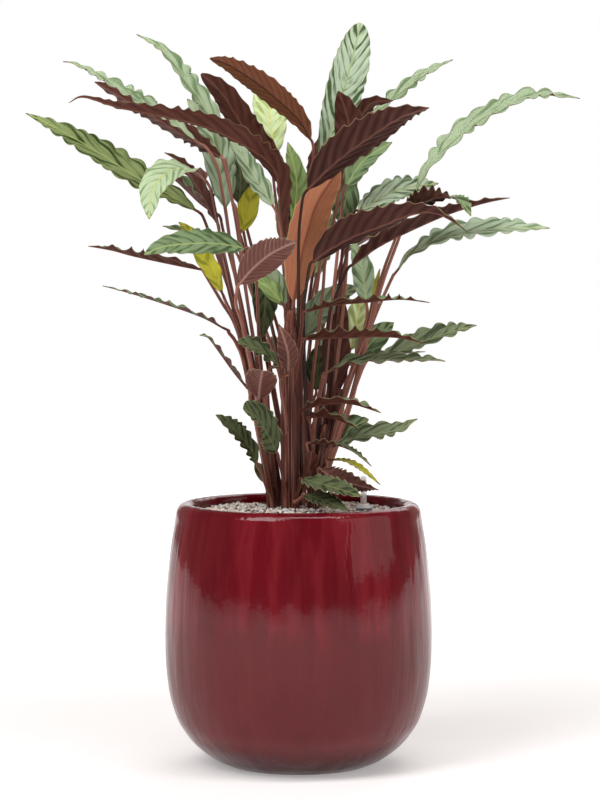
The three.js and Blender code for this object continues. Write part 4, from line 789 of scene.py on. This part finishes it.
def collar_paint():
    """The collar's plastic: milky white at its neck, blue grey where it spreads over the gravel."""
    paint = Paint("grey collar", {"Roughness": 0.3})
    height = paint.node("ShaderNodeSeparateXYZ", {}, {0: paint.place()}, 2)
    cloud = paint.noise(paint.place(), 260.0, 2.0)
    neck = paint.rise(height + cloud * 0.0006, 0.2544, 0.256)
    color = paint.mix(neck, (0.14, 0.15, 0.19), (0.9, 0.91, 0.92))
    return paint.feed({"Base Color": color, "Normal": paint.bump(cloud, 0.0001)})


def float_paint():
    """The float's orange plastic, slightly uneven."""
    paint = Paint("orange float", {"Roughness": 0.38})
    cloud = paint.noise(paint.place(), 260.0, 2.0)
    color = paint.mix(cloud, (0.6, 0.09, 0.015), (0.8, 0.14, 0.02))
    return paint.feed({"Base Color": color, "Normal": paint.bump(cloud, 0.0001)})


# Pieces

def leaf_frame(midrib, faces, steps):
    """Midrib points, and unit vectors along, across and up at each: up is the way the top faces there,
    made square to the midrib, and across is along x up."""
    line, length = even_curve(midrib, steps)
    ahead = directions(line)
    hints = np.asarray(faces, float)
    share = np.linspace(0, len(hints) - 1, steps + 1)
    hint = np.stack([np.interp(share, np.arange(len(hints)), hints[:, k]) for k in range(3)], axis=1)
    up = unit(hint - ahead * np.sum(hint * ahead, axis=1, keepdims=True))
    return line, length, ahead, np.cross(ahead, up), up


def half_widths(along, width, base, tip):
    """Half width along a blade: the distance from the base to the power base, times the distance from
    the tip to the power tip, scaled to its widest."""
    widest = base / (base + tip)
    shape = along ** base * (1 - along) ** tip
    return width / 2 * shape / (widest ** base * (1 - widest) ** tip)


def blade(row, number, small):
    """A leaf blade. At s across, from -1 to 1, it lies s half widths from the midrib and rises by the
    fold. Veins run out and forward, a little more so at the margin. The margin ruffles as a wave that
    also swings along the blade, growing as |s| to the power 2.1 and varied by slower sines. The swing
    sharpens the outer crests where the top faces away, and the notches where it faces the front.
    Pleats are a shorter sine, strongest halfway out, that fades over the last third before the tip. The
    rib stands out below the midrib, under a groove in the top."""
    look = {**PLAIN_LOOK, **LOOKS.get(row[0], {})}
    _, _, _, width, tip, fold, faces, midrib, _ = row
    steps = int(max(24, np.linalg.norm(np.diff(np.array(midrib), axis=0), axis=1).sum() / STEP_ALONG))
    places = np.array(FEWER_ACROSS if small else PLACES_ACROSS)
    line, length, ahead, across, up = leaf_frame(midrib, faces, steps)
    along = np.linspace(0, 1, steps + 1)
    inner = np.clip(along, 0.004, 0.997)
    half = np.maximum(STALK_TIP * (1 - 0.85 * along), half_widths(inner, width, look["base"], tip))[:, None]
    s = np.r_[-places[::-1], 0, places]
    side = np.sign(s)
    out = np.abs(s)
    run = (along * length)[:, None]
    vein = (run - look["slant"] * half * out * (0.8 + 0.4 * out)) / np.hypot(1, look["slant"])
    turn = 2.4 * number + 1.7 * side
    drift = 3.0 * np.sin(run / 12.0 + turn) + 1.6 * np.sin(run / 6.3 + 2 * turn)
    edge_run = run - 0.6 * half * out
    phase = 2 * np.pi * (edge_run + drift) / look["wave"] + turn
    ends = smooth(0.0, 0.14, along)[:, None] * smooth(1.0, 0.86, along)[:, None]
    height = look["ruffle"] * min(1.0, width / 28) * (0.78 + 0.3 * np.sin(run / 15.0 + 1.3 * turn))
    ruffle = height * ends * np.minimum(1, half / 9) * out ** 2.1
    turned_away = np.mean(np.array(faces)[:, 1]) > -0.05
    lean = np.clip(-8 * np.mean(across[:, 1] * up[:, 1]), -1, 1)
    crest = (1.0 if turned_away else -0.6) * side * lean * look["swing"]
    swing = crest * np.minimum(0.8 * ruffle, 0.11 * look["wave"]) * np.cos(phase)
    lift = ruffle * np.sin(phase)
    pleat = np.sin(2 * np.pi * vein / look["pleat"])
    depth = PLEAT_SHARE * look["pleat"] * look["depth"]
    fade = smooth(0.0, 0.14, along)[:, None] * smooth(1.0, 0.66, along)[:, None]
    lift = lift + depth * fade * pleat * np.sin(np.pi * out ** 0.8) * np.minimum(1, half / 10)
    rise, reach = np.sin(np.radians(fold)), np.cos(np.radians(fold))
    lift = lift + half * rise * (1.15 * out - 0.15 * out ** 2)
    wide = half * reach * s * (1 + 0.03 * ends * out ** 3 * np.sin(phase + 1.2))
    sheet = line[:, None] + across[:, None] * wide[..., None] + up[:, None] * lift[..., None]
    sheet = sheet + ahead[:, None] * swing[..., None]
    normal = unit(np.cross(np.gradient(sheet, axis=0), np.gradient(sheet, axis=1)))
    normal *= np.sign(np.sum(normal * up[:, None], axis=-1, keepdims=True))
    taper = 1 - 0.75 * along[:, None]
    rib = RIB_THICKNESS * taper * np.exp(-(half * s / 1.1) ** 2)
    groove = 0.25 * taper * np.exp(-(half * s / 0.8) ** 2)
    top = sheet + normal * (RIM_THICKNESS / 2 - groove)[..., None]
    under = sheet - normal * (RIM_THICKNESS / 2 + rib)[..., None]
    vertices, rings = shell(np.concatenate([top, under[:, ::-1]], axis=1))
    distance = half * out
    fields = {
        "vein": (vein + drift * 0.3) / look["pleat"] + 7.3 * number,
        "reach": distance,
        "inset": half - distance,
    }
    values = {key: np.concatenate([field, field[:, ::-1]], axis=1).ravel() for key, field in fields.items()}
    values["under"] = np.concatenate([np.zeros_like(vein), np.ones_like(vein)], axis=1).ravel()
    return vertices, rings, values


def core_point(core, height):
    """The centre of a shoot and its radius at heights, by its listed rings."""
    rings = np.asarray(core, float)
    return [np.interp(height, rings[:, 2], rings[:, k]) for k in (0, 1, 3)]


def stalk_feet(core, rows):
    """Where each stalk stands in its shoot's foot, as a share of the room there: a small copy of how
    they spread higher up, so that they don't cross."""
    ground = core[1][2]
    centre = np.array(core[1][:2], float)
    first = np.array([row[8][0] for row in rows], float)
    grown = (SPREAD_HEIGHT - ground) / np.maximum(first[:, 2:] - ground, 30.0)
    spread = (first[:, :2] - centre) * grown
    spread = spread - spread.mean(axis=0)
    size = np.linalg.norm(spread, axis=1, keepdims=True)
    return spread / size * (size / size.max()) ** 0.6


def stalk_path(row, foot):
    """Centre line and radii of one stalk: from its place in the shoot's foot, past its listed points and
    square into the blade's base. A stalk of the middle shoot first keeps to its sheaths."""
    core = CORES[row[1]]
    listed = np.array(row[8], float)
    base, after = np.array(row[7][0], float), np.array(row[7][1], float)
    ahead = (after - base) / np.linalg.norm(after - base)
    leave = STALK_FREE
    if row[1] == "centre":
        leave = max(STALK_FREE + 2, min(listed[0][2] - STALK_RUN_IN, core[-1][2] - 4))
    heights = np.array([h for h in (STALK_FOOT, STALK_FREE, 300.0, 340.0) if h < leave - 12] + [leave])
    x, y, radius = core_point(core, heights)
    slim = np.clip((base[2] - STALK_FREE) / SHORT_STALK, 0.5, 1.0)
    girth = np.interp(heights, *STALK_GIRTH) * SHEATH_GIRTH.get(row[1], 1.0) * slim
    room = np.maximum(radius - girth, 0)
    start = np.stack([x + room * foot[0], y + room * foot[1], heights], axis=1)
    if leave == STALK_FREE:
        lean = (listed[0] - start[-1]) / max(listed[0][2] - leave, 60.0)
        start[0, :2] = start[-1, :2] + lean[:2] * (heights[0] - leave)
    points = np.vstack([start, listed, base - 5 * ahead, base + 2.2 * ahead])
    listed_girth = np.minimum(np.interp(listed[:, 2], *STALK_GIRTH), girth[-1])
    return points, np.r_[girth, listed_girth, min(1.5, girth[-1]), STALK_TIP * 0.9]


def bar(points, radii, tone, turns=STALK_TURNS, ribs=5, depth=0.035):
    """A round bar through the points: rings square to the curve, with lengthwise ribs. It keeps the
    place of each vertex aside and ahead of the centre line and along it, in mm, for its streaks."""
    length = np.linalg.norm(np.diff(points, axis=0), axis=1).sum()
    steps = int(max(12, length / STALK_STEP))
    places = np.linspace(0, 1, steps + 1)
    line = curve(points, places)
    ahead = directions(line)
    sideways = unit(np.cross(ahead, (0.0, -1.0, 0.001)))
    outward = np.cross(sideways, ahead)
    radius = np.interp(places, np.linspace(0, 1, len(radii)), radii)
    angle = np.linspace(0, 2 * np.pi, turns, endpoint=False)
    grooved = radius[:, None] * (1 + depth * np.cos(ribs * angle + tone * 9))
    front, aside = grooved * np.cos(angle), grooved * np.sin(angle)
    ring = line[:, None] + front[..., None] * outward[:, None] + aside[..., None] * sideways[:, None]
    vertices, faces = shell(ring)
    values = {
        "tone": np.full(len(vertices), tone),
        "front": front.ravel(),
        "aside": aside.ravel() + 90 * tone,
        "run": np.repeat(places * length, turns),
    }
    return vertices, faces, values, 0


def shoot_stalks(shoot, rows):
    """The bars of one shoot and the ribbed sheath between their feet."""
    core = CORES[shoot]
    parts = []
    for row, foot in zip(rows, stalk_feet(core, rows)):
        points, radii = stalk_path(row, foot)
        tone = LOOKS.get(row[0], {}).get("tone", random.uniform(0.15, 0.95))
        parts.append(bar(points, radii, float(tone)))
    rings = np.array(CENTRE_SHEATH if shoot == "centre" else core, float)
    share = 1.0 if shoot == "centre" else SHEATH_SHARE
    return [*parts, bar(rings[:, :3], rings[:, 3] * share, 0.22, SHEATH_TURNS, 9, 0.06)]


def make_plant(blade_paints, stalk_material):
    """Every blade and stalk, each large blade as a piece and the rest a piece for each shoot."""
    for number, row in enumerate(LEAVES):
        vertices, faces, values = blade(row, number, False)
        paint = blade_paints(row)
        piece(f"blade_{row[0]}", [(vertices, faces, values, 0)], [paint],
              [f"leaf_{row[0]}"])
    for shoot in CORES:
        own = [row for row in LEAVES if row[1] == shoot]
        joined = [row for row in JOINED_LEAVES if row[1] == shoot]
        parts = shoot_stalks(shoot, own + joined)
        piece(f"stalks_{shoot}", parts, [stalk_material], [f"shoot_{shoot}"])
        if shoot == SPEAR["shoot"]:
            x, y, _ = core_point(CORES[shoot], STALK_FREE)
            points = np.array([[x + 3, y, STALK_FREE], *SPEAR["line"]], float)
            furled = bar(points, np.array(SPEAR["radii"]), 0.5)
            piece("furled_leaf", [furled], [spear_paint()], [f"shoot_{shoot}"])
        if joined:
            paints = [blade_paints(row) for row in joined]
            blades = [(*blade(row, number + 60, True), number) for number, row in enumerate(joined)]
            piece(f"blades_{shoot}", blades, paints, [f"shoot_{shoot}"])


def paint_finder():
    """Returns a function that gives a row's leaf material, making each combination once."""
    made = {}

    def find(row):
        look = {**PLAIN_LOOK, "top": row[2], **LOOKS.get(row[0], {})}
        top, underside = look["top"], look["under"]
        if (top, underside) not in made:
            made[top, underside] = blade_paint(top, underside)
        return made[top, underside]

    return find


def make_pot():
    """The glazed pot: its profile rounded by a curve between the listed points and turned."""
    profile = np.array(POT_OUTSIDE, float)
    flat = np.c_[profile, np.zeros(len(profile))]
    smooth_part = curve(flat[2:-1], np.linspace(0, 1, POT_RINGS))[:, :2]
    whole = np.vstack([profile[:2], smooth_part, profile[-1:]])
    vertices, faces = shell(turned(whole, POT_TURNS))
    piece("glazed_pot", [(vertices, faces, {}, 0)], [glaze_paint()], ["pot"])


def gravel_height(x, y):
    """The uneven top of the gravel: a product of two slow waves."""
    return GRAVEL_LEVEL + 1.5 * np.sin(0.045 * x + 2) * np.cos(0.051 * y - 1)


def make_gravel():
    """A bed under the surface, and two layers of grains: twenty-sided stones, each stretched, turned
    and scaled by its own random draw, on a shaken triangular grid."""
    rings = [[0.02, BED_FOOT], [GRAVEL_RADIUS - 1, BED_FOOT]]
    rings += [[radius, GRAVEL_LEVEL - BED_DEPTH] for radius in np.linspace(GRAVEL_RADIUS - 0.5, 0.02, 24)]
    bed = turned(rings, BED_TURNS)
    above = bed[..., 2] > GRAVEL_LEVEL - 5
    bed[..., 2] = np.where(above, gravel_height(bed[..., 0], bed[..., 1]) - BED_DEPTH, bed[..., 2])
    vertices, faces = shell(bed)
    piece("gravel_bed", [(vertices, faces, {}, 0)], [bed_paint()], ["substrate"])
    places = []
    columns = np.arange(-GRAVEL_RADIUS, GRAVEL_RADIUS, GRAIN_SPACING)
    rows = int(2 * GRAVEL_RADIUS / (GRAIN_SPACING * ROW_SHARE)) + 1
    for layer in range(GRAIN_LAYERS):
        for index in range(rows):
            y = -GRAVEL_RADIUS + index * GRAIN_SPACING * ROW_SHARE
            x = columns + GRAIN_SPACING / 2 * ((index + layer) % 2)
            places.append(np.c_[x, np.full(len(x), y), np.full(len(x), layer)])
    spots = np.vstack(places)
    spots[:, :2] += random.normal(0, GRAIN_SPACING * GRAIN_SHAKE, (len(spots), 2))
    keep = np.hypot(spots[:, 0], spots[:, 1]) < GRAVEL_RADIUS - 1.8
    for core in CORES.values():
        keep &= np.hypot(spots[:, 0] - core[0][0], spots[:, 1] - core[0][1]) > core[0][3] * 0.95
    keep &= np.hypot(spots[:, 0] - GAUGE_PLACE[0], spots[:, 1] - GAUGE_PLACE[1]) > COLLAR_ROOM
    spots = spots[keep]
    count = len(spots)
    upper = spots[:, 2] > 0
    size = random.uniform(*GRAIN_RADII, count) * np.where(upper, 1.0, 0.95)
    z = gravel_height(spots[:, 0], spots[:, 1]) + np.where(upper, GRAIN_HEIGHTS[1], GRAIN_HEIGHTS[0])
    z = z + random.normal(0, 0.55, count)
    stone_vertices, stone_faces = stone()
    stretch = random.uniform(0.72, 1.25, (count, 1, 3)) * size[:, None, None]
    knobs = stone_vertices[None] * stretch * random.uniform(0.82, 1.12, (count, len(stone_vertices), 1))
    spun = np.einsum("nij,nkj->nki", random_turns(count), knobs)
    vertices = (spun + np.c_[spots[:, :2], z][:, None]).reshape(-1, 3)
    faces = (stone_faces[None] + len(stone_vertices) * np.arange(count)[:, None, None]).reshape(-1, 3)
    tone = np.repeat(random.uniform(0, 1, count), len(stone_vertices))
    piece("gravel_grains", [(vertices, faces.tolist(), {"tone": tone}, 0)], [grain_paint()],
          ["substrate"], flat_shaded=True)


def stone():
    """Corners and faces of a regular solid with twenty sides, radius 1."""
    g = (1 + 5 ** 0.5) / 2
    corners = np.array([(-1, g, 0), (1, g, 0), (-1, -g, 0), (1, -g, 0), (0, -1, g), (0, 1, g), (0, -1, -g),
                        (0, 1, -g), (g, 0, -1), (g, 0, 1), (-g, 0, -1), (-g, 0, 1)], float)
    sides = np.array([(0, 11, 5), (0, 5, 1), (0, 1, 7), (0, 7, 10), (0, 10, 11), (1, 5, 9), (5, 11, 4),
                      (11, 10, 2), (10, 7, 6), (7, 1, 8), (3, 9, 4), (3, 4, 2), (3, 2, 6), (3, 6, 8),
                      (3, 8, 9), (4, 9, 5), (2, 4, 11), (6, 2, 10), (8, 6, 7), (9, 8, 1)])
    return unit(corners), sides


def random_turns(count):
    """Rotation matrices from random quaternions."""
    w, x, y, z = unit(random.normal(size=(count, 4))).T
    return np.stack([
        np.stack([1 - 2 * (y * y + z * z), 2 * (x * y - z * w), 2 * (x * z + y * w)], -1),
        np.stack([2 * (x * y + z * w), 1 - 2 * (x * x + z * z), 2 * (y * z - x * w)], -1),
        np.stack([2 * (x * z - y * w), 2 * (y * z + x * w), 1 - 2 * (x * x + y * y)], -1),
    ], axis=1)


def make_gauge():
    """The gauge: a domed clear tube, a low cone collar, and the float rod."""
    bore = TUBE_RADIUS - TUBE_WALL
    outer = [[TUBE_RADIUS, GAUGE_FOOT], [TUBE_RADIUS, TUBE_TOP - 2.2], [TUBE_RADIUS - 0.5, TUBE_TOP - 0.8],
             [TUBE_RADIUS - 1.6, TUBE_TOP], [0, TUBE_TOP + 0.1]]
    inner = [[0, TUBE_TOP - 1.6], [bore, TUBE_TOP - 3], [bore, GAUGE_FOOT]]
    tube = turned([[bore + 0.1, GAUGE_FOOT], *outer, *inner], GAUGE_TURNS, GAUGE_PLACE)
    piece("clear_gauge_tube", [(*shell(tube), {}, 0)], [tube_paint()], ["gauge_tube"])
    cone = [[radius, COLLAR_SEAT + rise] for radius, rise in COLLAR]
    piece("gauge_collar_cone", [(*shell(turned(cone, GAUGE_TURNS, GAUGE_PLACE)), {}, 0)], [collar_paint()],
          ["gauge_collar"])
    rod = turned([[0, GAUGE_FOOT], [FLOAT_RADIUS, GAUGE_FOOT], [FLOAT_RADIUS, FLOAT_TOP - 0.4],
                  [FLOAT_RADIUS - 0.5, FLOAT_TOP + 0.6], [0, FLOAT_TOP + 1.4]], GAUGE_TURNS, GAUGE_PLACE)
    piece("gauge_float_rod", [(*shell(rod), {}, 0)],
          [float_paint()], ["gauge_float"])


# Stage

def aim(thing, place, target):
    """Stands a camera or lamp at a place and turns it to a target."""
    thing.location = place
    thing.rotation_euler = (Vector(target) - Vector(place)).to_track_quat("-Z", "Y").to_euler()
    bpy.context.scene.collection.objects.link(thing)


def make_camera():
    """The photograph's view: a long lens level with the leaves, tilted slightly down."""
    data = bpy.data.cameras.new("camera")
    data.lens = CAMERA_LENS
    data.clip_end = 60
    camera = bpy.data.objects.new("camera", data)
    aim(camera, CAMERA_PLACE, CAMERA_AIM)
    bpy.context.scene.camera = camera


def make_lights():
    """Soft studio boxes in a dim room, whose far wall is white. The room lights the plant and shows in
    its gloss, while the camera itself sees a plain white backdrop."""
    for name, lamp in LAMPS.items():
        data = bpy.data.lights.new(name, "AREA")
        data.shape = "RECTANGLE"
        data.size, data.size_y = lamp["size"]
        data.energy = lamp["power"]
        aim(bpy.data.objects.new(name, data), lamp["place"], lamp["aim"])
    world = bpy.data.worlds.new("studio")
    bpy.context.scene.world = world
    world.use_nodes = True
    tree = world.node_tree
    split = tree.nodes.new("ShaderNodeSeparateXYZ")
    room = tree.nodes.new("ShaderNodeMapRange")
    room.inputs["From Max"].default_value = ROOM_LIGHT["height"]
    room.inputs["To Min"].default_value = ROOM_LIGHT["horizon"]
    room.inputs["To Max"].default_value = ROOM_LIGHT["ceiling"]
    strength = tree.nodes.new("ShaderNodeMapRange")
    strength.inputs["From Min"].default_value = WALL_EDGE[0]
    strength.inputs["From Max"].default_value = WALL_EDGE[1]
    strength.inputs["To Max"].default_value = WALL_LIGHT
    tree.links.new(tree.nodes.new("ShaderNodeTexCoord").outputs["Generated"], split.inputs[0])
    tree.links.new(split.outputs["Z"], room.inputs["Value"])
    tree.links.new(split.outputs["Y"], strength.inputs["Value"])
    tree.links.new(room.outputs["Result"], strength.inputs["To Min"])
    tint = tree.nodes.new("ShaderNodeMapRange")
    tint.data_type = "FLOAT_VECTOR"
    for key, value in (("From_Min_FLOAT3", WALL_EDGE[0]), ("From_Max_FLOAT3", WALL_EDGE[1])):
        next(s for s in tint.inputs if s.identifier == key).default_value = (value, value, value)
    next(s for s in tint.inputs if s.identifier == "To_Min_FLOAT3").default_value = ROOM_TINT
    tree.links.new(split.outputs["Y"], next(s for s in tint.inputs if s.identifier == "Vector"))
    back = tree.nodes["Background"]
    tree.links.new(tint.outputs["Vector"], back.inputs["Color"])
    tree.links.new(strength.outputs["Result"], back.inputs["Strength"])
    seen = tree.nodes.new("ShaderNodeBackground")
    seen.inputs["Color"].default_value = (*BACKDROP, 1.0)
    either = tree.nodes.new("ShaderNodeMixShader")
    tree.links.new(tree.nodes.new("ShaderNodeLightPath").outputs["Is Camera Ray"], either.inputs["Fac"])
    tree.links.new(back.outputs["Background"], either.inputs[1])
    tree.links.new(seen.outputs["Background"], either.inputs[2])
    tree.links.new(either.outputs["Shader"], tree.nodes["World Output"].inputs["Surface"])
    bpy.context.scene.view_settings.view_transform = "Standard"


def make_floor():
    """A wide pale floor that glows as painted light, more with distance, until it meets the white backdrop.
    """
    angle = np.linspace(0, 2 * np.pi, 96, endpoint=False)
    rim = np.stack([FLOOR_RADIUS * np.cos(angle), FLOOR_RADIUS * np.sin(angle), np.zeros(96)], axis=1)
    mesh = bpy.data.meshes.new("floor")
    mesh.from_pydata(rim.tolist(), [], [list(range(96))])
    floor = bpy.data.objects.new("floor", mesh)
    bpy.context.scene.collection.objects.link(floor)
    paint = Paint("floor", {"Base Color": (FLOOR_TONE, FLOOR_TONE, FLOOR_TONE), "Roughness": 0.8,
                            "Emission Strength": 1.0})
    distance = paint.node("ShaderNodeVectorMath", {"operation": "LENGTH"}, {0: paint.place()}, "Value")
    glow = paint.rise(distance, *FLOOR_GLOW_REACH, *FLOOR_GLOW)
    mesh.materials.append(paint.feed({"Emission Color": paint.mix(glow, (0.0, 0.0, 0.0), (1.0, 1.0, 1.0))}))


make_camera()
make_lights()
make_floor()
make_pot()
make_gravel()
make_gauge()
make_plant(paint_finder(), stalk_paint())
